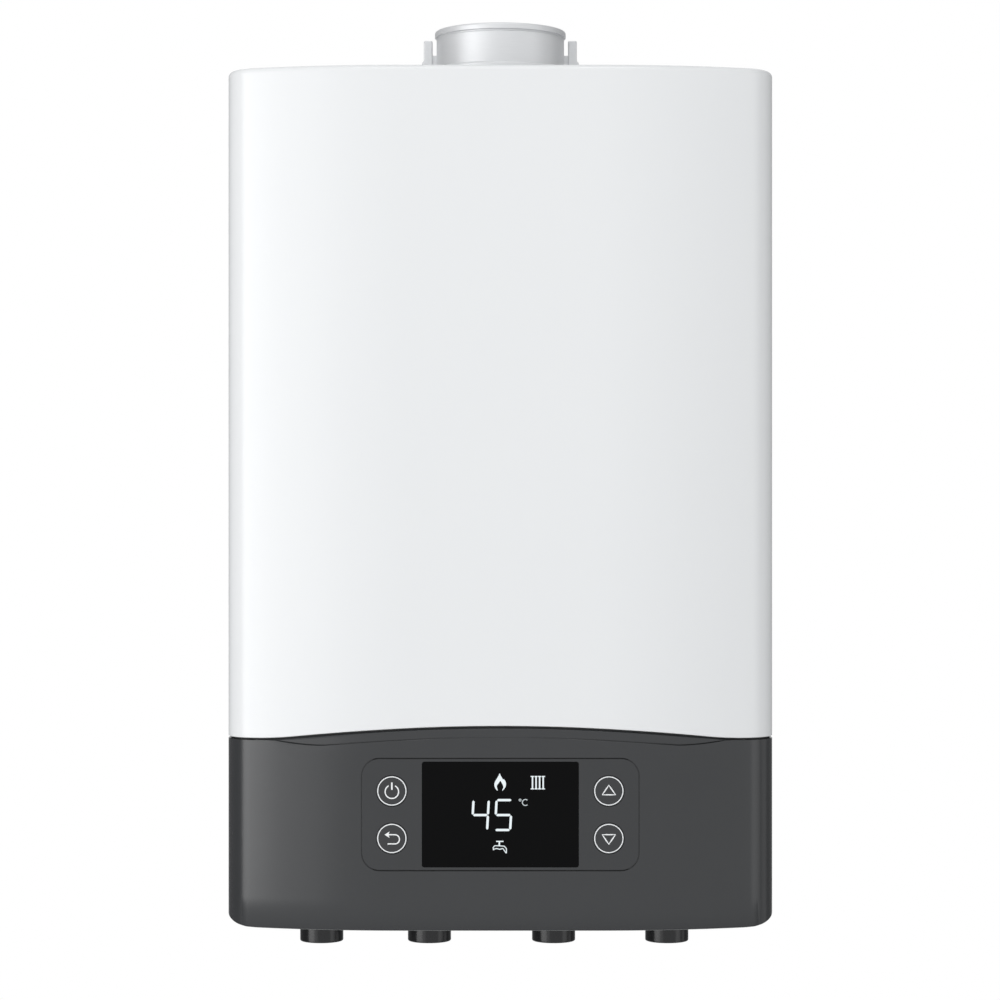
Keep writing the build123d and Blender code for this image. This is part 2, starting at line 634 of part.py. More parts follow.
# Lip seal in the spigot's groove.
with BuildPart() as spigot_seal:
    with BuildSketch(Plane.XY.offset(SEAL_LOW_Z)):
        with Locations((0, FLUE_Y)):
            Circle(SEAL_R)
            Circle(SPIGOT_BORE_R, mode=Mode.SUBTRACT)
    extrude(amount=SEAL_H)
spigot_seal.part.label = "spigot_seal"
export_step(spigot_seal.part, "parts/spigot_seal.step")

# Four pan-head screws through the collar's flange.
with BuildPart() as collar_screws:
    for turn in range(4):
        angle = math.radians(45 + 90 * turn)
        screw_x = SCREW_CIRCLE_R * math.cos(angle)
        screw_y = FLUE_Y + SCREW_CIRCLE_R * math.sin(angle)
        with Locations((screw_x, screw_y, TOP_Z + FOOT_H + 1)):
            Cylinder(SCREW_HEAD_R, 2)
        with Locations((screw_x, screw_y, TOP_Z + FOOT_H / 2)):
            Cylinder(SCREW_SHANK_R, FOOT_H)
collar_screws.part.label = "collar_screws"
export_step(collar_screws.part, "parts/collar_screws.step")

# Inner flue duct from the heat exchanger to the spigot.
NOZZLE_TOP_Z = 288.0
with BuildPart() as flue_duct:
    with BuildSketch(Plane.XY.offset(EXCHANGER_Z + EXCHANGER_R + 4)):
        with Locations((0, FLUE_Y)):
            Circle(DUCT_R)
            Circle(DUCT_BORE_R, mode=Mode.SUBTRACT)
    extrude(amount=SPIGOT_LOW_Z + 12 - EXCHANGER_Z - EXCHANGER_R - 4)
flue_duct.part.label = "flue_duct"
export_step(flue_duct.part, "parts/flue_duct.step")

# ======================= combustion =======================

# Condensing heat exchanger: ribbed drum, flue nozzle on top, water ports and sump below.
RIB_COUNT = 7
RIB_DEPTH = 3.0
RIB_GAP = 4.0
WATER_PORT_X = 60.0
PORT_BOSS_R = PIPE_R + 3
PORT_LOW_Z = 45.0
SUMP_Y = -115.0
SUMP_R = 9.0
with BuildPart() as heat_exchanger:
    with BuildSketch(Plane.XZ.offset(-EXCHANGER_REAR_Y)):
        with Locations((0, EXCHANGER_Z)):
            Circle(EXCHANGER_R)
    extrude(amount=EXCHANGER_REAR_Y - EXCHANGER_FRONT_Y)
    with BuildSketch(Plane.XZ.offset(-EXCHANGER_FRONT_Y)):
        with Locations((0, EXCHANGER_Z)):
            Circle(DOOR_R + 2)
    extrude(amount=4)
    add(rod((0, FLUE_Y, EXCHANGER_Z + 60), DUCT_BORE_R - 0.2, NOZZLE_TOP_Z - EXCHANGER_Z - 60, UP))
    for port_x in (-WATER_PORT_X, WATER_PORT_X):
        add(rod((port_x, PIPE_Y, PORT_LOW_Z), PORT_BOSS_R, EXCHANGER_Z - 20 - PORT_LOW_Z, UP))
    add(rod((0, SUMP_Y, PORT_LOW_Z - 15), SUMP_R, EXCHANGER_Z - 30 - PORT_LOW_Z, UP))
    groove_pitch = (EXCHANGER_REAR_Y - EXCHANGER_FRONT_Y) / RIB_COUNT
    for rib in range(RIB_COUNT):
        groove_y = EXCHANGER_REAR_Y - groove_pitch * (rib + 0.5)
        with BuildSketch(Plane.XZ.offset(-groove_y - RIB_GAP / 2)):
            with Locations((0, EXCHANGER_Z)):
                Circle(EXCHANGER_R + 1)
                Circle(EXCHANGER_R - RIB_DEPTH, mode=Mode.SUBTRACT)
            with Locations((0, EXCHANGER_Z + EXCHANGER_R), (0, EXCHANGER_Z - EXCHANGER_R)):
                Rectangle(160, 90, mode=Mode.SUBTRACT)
        extrude(amount=RIB_GAP, mode=Mode.SUBTRACT)
    add(rod((0, EXCHANGER_REAR_Y - 12, EXCHANGER_Z), CHAMBER_R, 120, TO_FRONT), mode=Mode.SUBTRACT)
    add(rod((0, FLUE_Y, EXCHANGER_Z), DUCT_BORE_R - 3, 140, UP), mode=Mode.SUBTRACT)
heat_exchanger.part.label = "heat_exchanger"
export_step(heat_exchanger.part, "parts/heat_exchanger.step")

# Rope gasket between the heat exchanger and its door.
GASKET_R = 85.0
GASKET_HALF = 2.5
with BuildPart() as door_gasket:
    with BuildSketch(Plane.XZ.offset(-EXCHANGER_FRONT_Y + 4)):
        with Locations((0, EXCHANGER_Z)):
            Circle(GASKET_R + GASKET_HALF)
            Circle(GASKET_R - GASKET_HALF, mode=Mode.SUBTRACT)
    extrude(amount=2)
door_gasket.part.label = "door_gasket"
export_step(door_gasket.part, "parts/door_gasket.step")

# Burner door: a cast disc with a raised centre and a port for the mixture.
PORT_R = 20.0
BOSS_R = 52.0
BOSS_FRONT_Y = -244.0
STUD_R = 3.0
STUD_COUNT = 6
FIRST_STUD = 30
ELECTRODE_X = 58.0
ELECTRODE_Z = EXCHANGER_Z + 28.0
INSULATOR_R = 5.0
with BuildPart() as burner_door:
    add(rod((0, DOOR_REAR_Y, EXCHANGER_Z), DOOR_R, DOOR_REAR_Y - DOOR_FRONT_Y, TO_FRONT))
    fillet(burner_door.faces().sort_by(Axis.Y)[0].edges(), 3)
    add(rod((0, DOOR_FRONT_Y, EXCHANGER_Z), BOSS_R, DOOR_FRONT_Y - BOSS_FRONT_Y, TO_FRONT))
    add(rod((0, DOOR_REAR_Y + 1, EXCHANGER_Z), PORT_R, 40, TO_FRONT), mode=Mode.SUBTRACT)
    for turn in range(STUD_COUNT):
        angle = math.radians(FIRST_STUD + 360 / STUD_COUNT * turn)
        stud_x = NUT_CIRCLE_R * math.cos(angle)
        stud_z = EXCHANGER_Z + NUT_CIRCLE_R * math.sin(angle)
        add(rod((stud_x, DOOR_REAR_Y + 1, stud_z), STUD_R + 0.2, 20, TO_FRONT), mode=Mode.SUBTRACT)
    electrode_hole = rod((ELECTRODE_X, DOOR_REAR_Y + 1, ELECTRODE_Z), INSULATOR_R + 0.2, 30, TO_FRONT)
    add(electrode_hole, mode=Mode.SUBTRACT)
burner_door.part.label = "burner_door"
export_step(burner_door.part, "parts/burner_door.step")

# Six hexagon nuts on their studs.
NUT_R = 5.7
NUT_H = 5.0
with BuildPart() as door_nuts:
    for turn in range(STUD_COUNT):
        angle = math.radians(FIRST_STUD + 360 / STUD_COUNT * turn)
        stud_x = NUT_CIRCLE_R * math.cos(angle)
        stud_z = EXCHANGER_Z + NUT_CIRCLE_R * math.sin(angle)
        with BuildSketch(Plane.XZ.offset(-DOOR_FRONT_Y)):
            with Locations((stud_x, stud_z)):
                RegularPolygon(NUT_R, 6)
        extrude(amount=NUT_H)
        add(rod((stud_x, DOOR_REAR_Y + 2, stud_z), STUD_R, 18, TO_FRONT))
door_nuts.part.label = "door_nuts"
export_step(door_nuts.part, "parts/door_nuts.step")

# Burner: a perforated steel cylinder closed at its far end.
BURNER_LENGTH = 88.0
BURNER_WALL = 1.5
BURNER_FLANGE_R = 42.0
with BuildPart() as burner:
    burner_bore = rod((0, DOOR_REAR_Y - 1, EXCHANGER_Z), BURNER_R - BURNER_WALL, BURNER_LENGTH - 1, TO_WALL)
    add(rod((0, DOOR_REAR_Y, EXCHANGER_Z), BURNER_FLANGE_R, 2, TO_WALL))
    add(rod((0, DOOR_REAR_Y, EXCHANGER_Z), BURNER_R, BURNER_LENGTH, TO_WALL))
    fillet(burner.faces().sort_by(Axis.Y)[-1].edges(), 5)
    add(burner_bore, mode=Mode.SUBTRACT)
burner.part.label = "burner"
export_step(burner.part, "parts/burner.step")

# Ignition electrode through the door: ceramic insulator and a steel rod.
ELECTRODE_FRONT_Y = DOOR_FRONT_Y - 16.0
SHOULDER_LENGTH = 15.5
INSULATOR_LENGTH = 50.0
SPARK_ROD_R = 1.2
with BuildPart() as ignition_electrode:
    add(rod((ELECTRODE_X, ELECTRODE_FRONT_Y, ELECTRODE_Z), INSULATOR_R, INSULATOR_LENGTH, TO_WALL))
    add(rod((ELECTRODE_X, ELECTRODE_FRONT_Y, ELECTRODE_Z), INSULATOR_R + 2, SHOULDER_LENGTH, TO_WALL))
    add(rod((ELECTRODE_X, DOOR_FRONT_Y + 30, ELECTRODE_Z), SPARK_ROD_R, 40, TO_WALL))
ignition_electrode.part.label = "ignition_electrode"
export_step(ignition_electrode.part, "parts/ignition_electrode.step")

# Mixing duct: carries gas and air from the fan up to the burner door.
DUCT_HALF = 24.0
DUCT_FRONT_Y = -268.0
DUCT_LOW_Z = 42.0
DUCT_WALL = 3.0
with BuildPart() as mixing_duct:
    with BuildSketch(Plane.XZ.offset(-BOSS_FRONT_Y)):
        with Locations((0, (EXCHANGER_Z + DUCT_LOW_Z) / 2)):
            Rectangle(2 * DUCT_HALF, EXCHANGER_Z - DUCT_LOW_Z)
        with Locations((0, EXCHANGER_Z)):
            Circle(DUCT_HALF + 6)
    extrude(amount=BOSS_FRONT_Y - DUCT_FRONT_Y)
    fillet(mixing_duct.faces().sort_by(Axis.Y)[0].edges(), 5)
    with Locations((0, (DUCT_FRONT_Y + FAN_REAR_Y) / 2, DUCT_LOW_Z + 4.5)):
        Box(2 * DUCT_HALF, FAN_REAR_Y - DUCT_FRONT_Y, 9)
    with BuildSketch(Plane.XZ.offset(-BOSS_FRONT_Y + DUCT_WALL)):
        with Locations((0, (EXCHANGER_Z + DUCT_LOW_Z - 1) / 2)):
            Rectangle(2 * (DUCT_HALF - DUCT_WALL), EXCHANGER_Z - DUCT_LOW_Z + 1)
        with Locations((0, EXCHANGER_Z)):
            Circle(DUCT_HALF)
    extrude(amount=BOSS_FRONT_Y - DUCT_FRONT_Y - 2 * DUCT_WALL, mode=Mode.SUBTRACT)
    add(rod((0, BOSS_FRONT_Y + 1, EXCHANGER_Z), PORT_R, 10, TO_FRONT), mode=Mode.SUBTRACT)
    with Locations((0, -236, DUCT_LOW_Z + 2.5)):
        Box(2 * (DUCT_HALF - DUCT_WALL), 58, 7, mode=Mode.SUBTRACT)
mixing_duct.part.label = "mixing_duct"
export_step(mixing_duct.part, "parts/mixing_duct.step")

# Fan housing: a volute with an inlet in front and an outlet to the duct above.
FAN_WALL = 3.0
FAN_RIM = 6.0
INLET_R = 22.0
OUTLET_X = (-22.0, 17.0)
with BuildPart() as fan_housing:
    add(rod((FAN_X, FAN_REAR_Y, FAN_Z), FAN_R, FAN_REAR_Y - FAN_FRONT_Y, TO_FRONT))
    add(block((OUTLET_X[0], FAN_FRONT_Y, FAN_Z), (OUTLET_X[1], FAN_REAR_Y, DUCT_LOW_Z)))
    add(rod((FAN_X, FAN_REAR_Y - FAN_WALL, FAN_Z), FAN_R - FAN_RIM, 40, TO_FRONT), mode=Mode.SUBTRACT)
    outlet_low = (OUTLET_X[0] + FAN_RIM, FAN_FRONT_Y + FAN_WALL, FAN_Z)
    outlet_high = (OUTLET_X[1] - FAN_RIM, FAN_REAR_Y - FAN_WALL, DUCT_LOW_Z + 1)
    add(block(outlet_low, outlet_high), mode=Mode.SUBTRACT)
    add(rod((FAN_X, FAN_REAR_Y, FAN_Z), INLET_R, 60, TO_FRONT), mode=Mode.SUBTRACT)
    add(rod((FAN_X, FAN_REAR_Y, FAN_Z), INLET_R, FAN_WALL, TO_FRONT))
    add(rod((FAN_X, FAN_REAR_Y + 1, FAN_Z), FAN_SHAFT_R + SHAFT_CLEAR, 10, TO_FRONT), mode=Mode.SUBTRACT)
fan_housing.part.label = "fan_housing"
export_step(fan_housing.part, "parts/fan_housing.step")

# Fan motor behind the housing, bored for the shaft.
FAN_MOTOR_R = 35.0
FAN_MOTOR_LENGTH = 32.0
with BuildPart() as fan_motor:
    add(rod((FAN_X, FAN_REAR_Y, FAN_Z), FAN_MOTOR_R, FAN_MOTOR_LENGTH, TO_WALL))
    fillet(fan_motor.faces().sort_by(Axis.Y)[-1].edges(), 4)
    add(rod((FAN_X, FAN_REAR_Y - 1, FAN_Z), FAN_SHAFT_R + SHAFT_CLEAR, 23, TO_WALL), mode=Mode.SUBTRACT)
fan_motor.part.label = "fan_motor"
export_step(fan_motor.part, "parts/fan_motor.step")

# Fan wheel on its shaft: hub disc with radial blades.
FAN_BLADES = 12
BLADE_LENGTH = 26.0
BLADE_H = 24.0
BLADE_THICK = 1.6
WHEEL_REAR_Y = FAN_REAR_Y - 6.0
with BuildPart() as fan_impeller:
    add(rod((FAN_X, WHEEL_REAR_Y, FAN_Z), IMPELLER_R, 2, TO_FRONT))
    add(rod((FAN_X, WHEEL_REAR_Y, FAN_Z), 12, 22, TO_FRONT))
    add(rod((FAN_X, WHEEL_REAR_Y - 1, FAN_Z), FAN_SHAFT_R, 27, TO_WALL))
    with Locations(Location((FAN_X, WHEEL_REAR_Y - 1 - BLADE_H / 2, FAN_Z), (90, 0, 0))):
        with PolarLocations(IMPELLER_R - 1 - BLADE_LENGTH / 2, FAN_BLADES):
            Box(BLADE_LENGTH, BLADE_THICK, BLADE_H)
fan_impeller.part.label = "fan_impeller"
export_step(fan_impeller.part, "parts/fan_impeller.step")

# Gas valve with its venturi, bolted to the fan's inlet.
GAS_INLET_X = 60.0
GAS_INLET_Y = -238.0
GAS_INLET_Z = FAN_Z - 40.0
VENTURI_FRONT_Y = -268.0
VENTURI_HALF = 14.0
with BuildPart() as gas_valve:
    add(rod((FAN_X, FAN_FRONT_Y, FAN_Z), INLET_R + 6, 20, TO_FRONT))
    arm_low = (FAN_X + 10, VENTURI_FRONT_Y, FAN_Z - VENTURI_HALF)
    arm_high = (GAS_INLET_X + 15, FAN_FRONT_Y - 0.4, FAN_Z + VENTURI_HALF)
    add(block(arm_low, arm_high))
    add(block((GAS_INLET_X - 30, -262, FAN_Z - 30), (GAS_INLET_X + 30, -215, FAN_Z + 28)))
    add(rod((FAN_X, FAN_FRONT_Y + 1, FAN_Z), INLET_R - 4, 30, TO_FRONT), mode=Mode.SUBTRACT)
    add(rod((GAS_INLET_X, GAS_INLET_Y, GAS_INLET_Z), 12, 12, UP))
gas_valve.part.label = "gas_valve"
export_step(gas_valve.part, "parts/gas_valve.step")

# Gas pipe from its threaded tail under the casing up to the valve.
GAS_PIPE_R = 7.5
GAS_BORE_R = 6.5
GAS_BEND_R = 18.0
GAS_CROSSING_Z = -150.0
gas_route = [
    (GAS_X, STUB_Y, TAIL_TOP_Z),
    (GAS_X, STUB_Y, GAS_CROSSING_Z - 40),
    (GAS_X, STUB_Y - 35, GAS_CROSSING_Z),
    (GAS_INLET_X, GAS_INLET_Y, GAS_CROSSING_Z),
    (GAS_INLET_X, GAS_INLET_Y, GAS_INLET_Z),
]
with BuildPart() as gas_pipe:
    add(pipe_run(gas_route, GAS_BEND_R, GAS_PIPE_R, GAS_BORE_R))
    add(rod((GAS_X, STUB_Y, GAS_END_Z), GAS_TAIL_R, OUTER_TAIL_LENGTH, UP))
    add(rod((GAS_X, STUB_Y, GAS_END_Z), GAS_TAIL_R - TAIL_STEP, TAIL_TOP_Z - GAS_END_Z, UP))
    add(rod((GAS_X, STUB_Y, GAS_END_Z - 1), GAS_BORE_R, TAIL_TOP_Z + 2 - GAS_END_Z, UP), mode=Mode.SUBTRACT)
gas_pipe.part.label = "gas_pipe"
export_step(gas_pipe.part, "parts/gas_pipe.step")

# Flat expansion vessel against the back frame: a hollow steel drum with one water port.
VESSEL_REAR_Y = -6.0
VESSEL_DEPTH = 74.0
VESSEL_EDGE_R = 24.0
VESSEL_WALL = 1.5
VESSEL_PORT_Y = -43.0
VESSEL_PORT_R = 9.0
VESSEL_STEM_R = 22.0
with BuildPart() as vessel_core:
    core_depth = VESSEL_DEPTH - 2 * VESSEL_WALL
    add(rod((0, VESSEL_REAR_Y - VESSEL_WALL, VESSEL_Z), VESSEL_R - VESSEL_WALL, core_depth, TO_FRONT))
    fillet(vessel_core.edges().filter_by(GeomType.CIRCLE), VESSEL_EDGE_R - VESSEL_WALL)
with BuildPart() as expansion_vessel:
    add(rod((0, VESSEL_REAR_Y, VESSEL_Z), VESSEL_R, VESSEL_DEPTH, TO_FRONT))
    fillet(expansion_vessel.edges().filter_by(GeomType.CIRCLE), VESSEL_EDGE_R)
    add(rod((0, -BACK_THICK, VESSEL_Z), VESSEL_STEM_R, 10, TO_FRONT))
    add(rod((0, VESSEL_PORT_Y, VESSEL_Z - VESSEL_R + 4), VESSEL_PORT_R, 16, DOWN))
    add(vessel_core.part, mode=Mode.SUBTRACT)
    add(rod((0, VESSEL_PORT_Y, VESSEL_Z - VESSEL_R + 8), VESSEL_PORT_R - 4, 30, DOWN), mode=Mode.SUBTRACT)
expansion_vessel.part.label = "expansion_vessel"
export_step(expansion_vessel.part, "parts/expansion_vessel.step")

# Condensate trap: a bottle with a screwed cap and a drain spout through the base.
BOTTLE_X = TRAP_X - 8.0
BOTTLE_R = 24.0
BOTTLE_H = 150.0
BOTTLE_LOW_Z = -300.0
CAP_R = 26.5
CAP_H = 22.0
with BuildPart() as condensate_trap:
    add(rod((BOTTLE_X, TRAP_Y, BOTTLE_LOW_Z), BOTTLE_R, BOTTLE_H, UP))
    add(rod((BOTTLE_X, TRAP_Y, BOTTLE_LOW_Z - 6), CAP_R, CAP_H, UP))
    add(rod((TRAP_X, TRAP_Y, GAS_END_Z), DRAIN_R, OUTER_TAIL_LENGTH, UP))
    add(rod((TRAP_X, TRAP_Y, GAS_END_Z), DRAIN_R - TAIL_STEP, 60, UP))
    add(rod((TRAP_X, TRAP_Y, GAS_END_Z - 1), DRAIN_R - 2, 50, UP), mode=Mode.SUBTRACT)
condensate_trap.part.label = "condensate_trap"
export_step(condensate_trap.part, "parts/condensate_trap.step")

# ======================= water side =======================

# Pump housing with its outlet boss.
BOSS_TOP_Z = PUMP_Z + PUMP_R + 6
PUMP_PORT_X = PUMP_X - 35.0
PUMP_REAR_Y = -112.0
PUMP_DEPTH = 38.0
PUMP_RIM = 6.0
RETURN_BLOCK_TOP_Z = -252.0
with BuildPart() as pump_housing:
    add(rod((PUMP_X, PUMP_REAR_Y, PUMP_Z), PUMP_R, PUMP_DEPTH, TO_FRONT))
    add(block((PUMP_PORT_X - 12, PIPE_Y - 14, PUMP_Z), (PUMP_PORT_X + 12, PIPE_Y + 14, BOSS_TOP_Z)))
    add(block((PUMP_X - 14, PIPE_Y - 16, RETURN_BLOCK_TOP_Z), (PUMP_X + 14, PIPE_Y + 16, BOSS_TOP_Z)))
    add(rod((PUMP_X, PUMP_REAR_Y - 4, PUMP_Z), PUMP_R - PUMP_RIM, 40, TO_FRONT), mode=Mode.SUBTRACT)
pump_housing.part.label = "pump_housing"
export_step(pump_housing.part, "parts/pump_housing.step")

# Pump motor, facing the front.
PUMP_FRONT_Y = PUMP_REAR_Y - PUMP_DEPTH
with BuildPart() as pump_motor:
    add(rod((PUMP_X, PUMP_FRONT_Y, PUMP_Z), PUMP_R - 1, 40, TO_FRONT))
    fillet(pump_motor.faces().sort_by(Axis.Y)[0].edges(), 5)
    add(rod((PUMP_X, PUMP_FRONT_Y + 1, PUMP_Z), PUMP_SHAFT_R + SHAFT_CLEAR, 25, TO_FRONT), mode=Mode.SUBTRACT)
pump_motor.part.label = "pump_motor"
export_step(pump_motor.part, "parts/pump_motor.step")

# Pump wheel and shaft.
PUMP_VANES = 6
PUMP_WHEEL_R = 34.0
PUMP_WHEEL_Y = PUMP_REAR_Y - 8.0
VANE_LENGTH = 24.0
VANE_H = 12.0
with BuildPart() as pump_impeller:
    add(rod((PUMP_X, PUMP_WHEEL_Y, PUMP_Z), PUMP_WHEEL_R, 2, TO_FRONT))
    add(rod((PUMP_X, PUMP_WHEEL_Y, PUMP_Z), 10, 16, TO_FRONT))
    add(rod((PUMP_X, PUMP_WHEEL_Y - 1, PUMP_Z), PUMP_SHAFT_R, 48, TO_FRONT))
    with Locations(Location((PUMP_X, PUMP_WHEEL_Y - 1 - VANE_H / 2, PUMP_Z), (90, 0, 0))):
        with PolarLocations(PUMP_WHEEL_R - 2 - VANE_LENGTH / 2, PUMP_VANES):
            Box(VANE_LENGTH, 2.5, VANE_H)
pump_impeller.part.label = "pump_impeller"
export_step(pump_impeller.part, "parts/pump_impeller.step")

# Automatic air vent on top of the pump.
VENT_R = 12.0
VENT_H = 40.0
with BuildPart() as air_vent:
    add(rod((PUMP_X, PIPE_Y, BOSS_TOP_Z), VENT_R, VENT_H, UP))
    add(rod((PUMP_X, PIPE_Y, BOSS_TOP_Z + VENT_H), VENT_R / 2, 7, UP))
    add(rod((PUMP_X, PIPE_Y, BOSS_TOP_Z), VENT_R + 1.5, 8, UP))
air_vent.part.label = "air_vent"
export_step(air_vent.part, "parts/air_vent.step")

# Return block: carries the pump and the safety valve over the heating return.
BLOCK_LOW_Z = -312.0
BLOCK_FRONT_Y = -160.0
BLOCK_REAR_Y = -102.0
BLOCK_W = 58.0
RETURN_BLOCK_X = 114.0
SPOUT_LOW_Z = -330.0
with BuildPart() as return_block:
    corner = (RETURN_BLOCK_X, BLOCK_FRONT_Y, BLOCK_LOW_Z)
    add(block(corner, (RETURN_BLOCK_X + BLOCK_W, BLOCK_REAR_Y, RETURN_BLOCK_TOP_Z)))
    fillet(return_block.edges().filter_by(Axis.Z).group_by(Axis.X)[0], 4)
    add(rod((RETURN_X, STUB_Y, SPOUT_LOW_Z), TAIL_OUT_R, BLOCK_LOW_Z - SPOUT_LOW_Z + 2, UP))
return_block.part.label = "return_block"
export_step(return_block.part, "parts/return_block.step")

# Flow block: diverter valve body over the heating flow, bored for the spindle.
SPINDLE_FRONT_Y = -178.0
FLOW_BLOCK_X = -176.0
FLOW_BLOCK_TOP_Z = -232.0
FLOW_PORT_X = -140.0
with BuildPart() as flow_block:
    corner = (FLOW_BLOCK_X, BLOCK_FRONT_Y, BLOCK_LOW_Z)
    add(block(corner, (FLOW_BLOCK_X + BLOCK_W, BLOCK_REAR_Y, FLOW_BLOCK_TOP_Z)))
    add(rod((FLOW_X, STUB_Y, SPOUT_LOW_Z), TAIL_OUT_R, BLOCK_LOW_Z - SPOUT_LOW_Z + 2, UP))
    add(rod((FLOW_PORT_X, PIPE_Y, FLOW_BLOCK_TOP_Z - 1), PORT_BOSS_R, 13, UP))
    spindle_bore = rod((FLOW_X, BLOCK_FRONT_Y - 1, DIVERTER_Z), SPINDLE_R + SLIDE_CLEAR, 48, TO_WALL)
    add(spindle_bore, mode=Mode.SUBTRACT)
flow_block.part.label = "flow_block"
export_step(flow_block.part, "parts/flow_block.step")

# Diverter actuator: a hollow motor cap on the front of the flow block.
ACTUATOR_R = 20.0
ACTUATOR_LENGTH = 38.0
with BuildPart() as diverter_actuator:
    add(rod((FLOW_X, BLOCK_FRONT_Y, DIVERTER_Z), ACTUATOR_R, ACTUATOR_LENGTH, TO_FRONT))
    fillet(diverter_actuator.faces().sort_by(Axis.Y)[0].edges(), 3)
    add(rod((FLOW_X, BLOCK_FRONT_Y + 1, DIVERTER_Z), ACTUATOR_R - 8, 35, TO_FRONT), mode=Mode.SUBTRACT)
diverter_actuator.part.label = "diverter_actuator"
export_step(diverter_actuator.part, "parts/diverter_actuator.step")

# Diverter spindle: slides in the flow block, with a head inside the actuator.
with BuildPart() as diverter_spindle:
    add(rod((FLOW_X, SPINDLE_FRONT_Y, DIVERTER_Z), SPINDLE_R, 56, TO_WALL))
    add(rod((FLOW_X, SPINDLE_FRONT_Y, DIVERTER_Z), 8, 5, TO_FRONT))
diverter_spindle.part.label = "diverter_spindle"
export_step(diverter_spindle.part, "parts/diverter_spindle.step")

# Plate heat exchanger for the hot water, standing against the back.
PLATE_COUNT = 14
PLATE_PITCH = 3.0
PLATES_REAR_Y = -18.0
PLATE_THICK = 1.4
PLATES_X = -8.0
PLATES_W = 180.0
PLATES_H = 70.0
with BuildPart() as plate_exchanger:
    with Locations((PLATES_X, PLATES_REAR_Y - PLATE_COUNT * PLATE_PITCH / 2, PLATES_Z)):
        Box(PLATES_W - 4, PLATE_COUNT * PLATE_PITCH, PLATES_H - 4)
    for plate in range(PLATE_COUNT):
        plate_y = PLATES_REAR_Y - PLATE_PITCH * (plate + 0.5)
        with Locations((PLATES_X, plate_y, PLATES_Z)):
            Box(PLATES_W, PLATE_THICK, PLATES_H)
plate_exchanger.part.label = "plate_exchanger"
export_step(plate_exchanger.part, "parts/plate_exchanger.step")

# Hot and cold pipes: each ends below in a brass union tail with a pipe socket.
PLATES_FRONT_Y = PLATES_REAR_Y - PLATE_COUNT * PLATE_PITCH
for name, tail_x in (("hot_pipe", HOT_X), ("cold_pipe", COLD_X)):
    route = [(tail_x, STUB_Y, TAIL_TOP_Z), (tail_x, STUB_Y, PLATES_Z), (tail_x, PLATES_FRONT_Y, PLATES_Z)]
    with BuildPart() as water_pipe:
        add(pipe_run(route, 20, PIPE_R, PIPE_BORE_R))
        with Locations((tail_x, STUB_Y, (TAIL_END_Z + TAIL_TOP_Z) / 2)):
            Cylinder(TAIL_OUT_R, TAIL_TOP_Z - TAIL_END_Z)
            Cylinder(PIPE15_R - SOCKET_STEP, TAIL_TOP_Z + 2 - TAIL_END_Z, mode=Mode.SUBTRACT)
        with Locations((tail_x, STUB_Y, TAIL_END_Z + SOCKET_DEPTH / 2)):
            Cylinder(PIPE15_R, SOCKET_DEPTH, mode=Mode.SUBTRACT)
    water_pipe.part.label = name
    export_step(water_pipe.part, f"parts/{name}.step")

# Heating tails: two brass unions with 22 mm pipe sockets.
with BuildPart() as heating_tails:
    for tail_x in (FLOW_X, RETURN_X):
        with Locations((tail_x, STUB_Y, (TAIL_END_Z + SPOUT_LOW_Z) / 2)):
            Cylinder(TAIL_OUT_R, SPOUT_LOW_Z - TAIL_END_Z)
            Cylinder(PIPE22_R - SOCKET_STEP, SPOUT_LOW_Z + 2 - TAIL_END_Z, mode=Mode.SUBTRACT)
        with Locations((tail_x, STUB_Y, TAIL_END_Z + SOCKET_DEPTH / 2)):
            Cylinder(PIPE22_R, SOCKET_DEPTH, mode=Mode.SUBTRACT)
heating_tails.part.label = "heating_tails"
export_step(heating_tails.part, "parts/heating_tails.step")

# Dark sleeves round the four tails, hanging from the bottom plate.
SLEEVE_TOP_Z = BASE_PLATE_Z - BASE_PLATE_THICK
SLEEVE_FLANGE_R = STUB_R + 4.0
SLEEVE_EDGE_R = 1.4
with BuildPart() as stub_sleeves:
    for stub_x in STUB_XS:
        with BuildSketch(Plane.XZ.offset(-STUB_Y)):
            with BuildLine():
                Polyline(
                    (stub_x + STUB_BORE_R, SLEEVE_TOP_Z),
                    (stub_x + SLEEVE_FLANGE_R, SLEEVE_TOP_Z),
                    (stub_x + SLEEVE_FLANGE_R, SLEEVE_TOP_Z - 3),
                    (stub_x + STUB_R, SLEEVE_TOP_Z - 3),
                    (stub_x + STUB_R, STUB_END_Z + SLEEVE_EDGE_R),
                )
                edge_centre = (stub_x + STUB_R - SLEEVE_EDGE_R, STUB_END_Z + SLEEVE_EDGE_R)
                CenterArc(edge_centre, SLEEVE_EDGE_R, 0, -90)
                Polyline(
                    (stub_x + STUB_R - SLEEVE_EDGE_R, STUB_END_Z),
                    (stub_x + STUB_BORE_R + 0.6, STUB_END_Z),
                    (stub_x + STUB_BORE_R, STUB_END_Z + 0.6),
                    (stub_x + STUB_BORE_R, SLEEVE_TOP_Z),
                )
            make_face()
        revolve(axis=Axis((stub_x, STUB_Y, 0), (0, 0, 1)))
stub_sleeves.part.label = "stub_sleeves"
export_step(stub_sleeves.part, "parts/stub_sleeves.step")

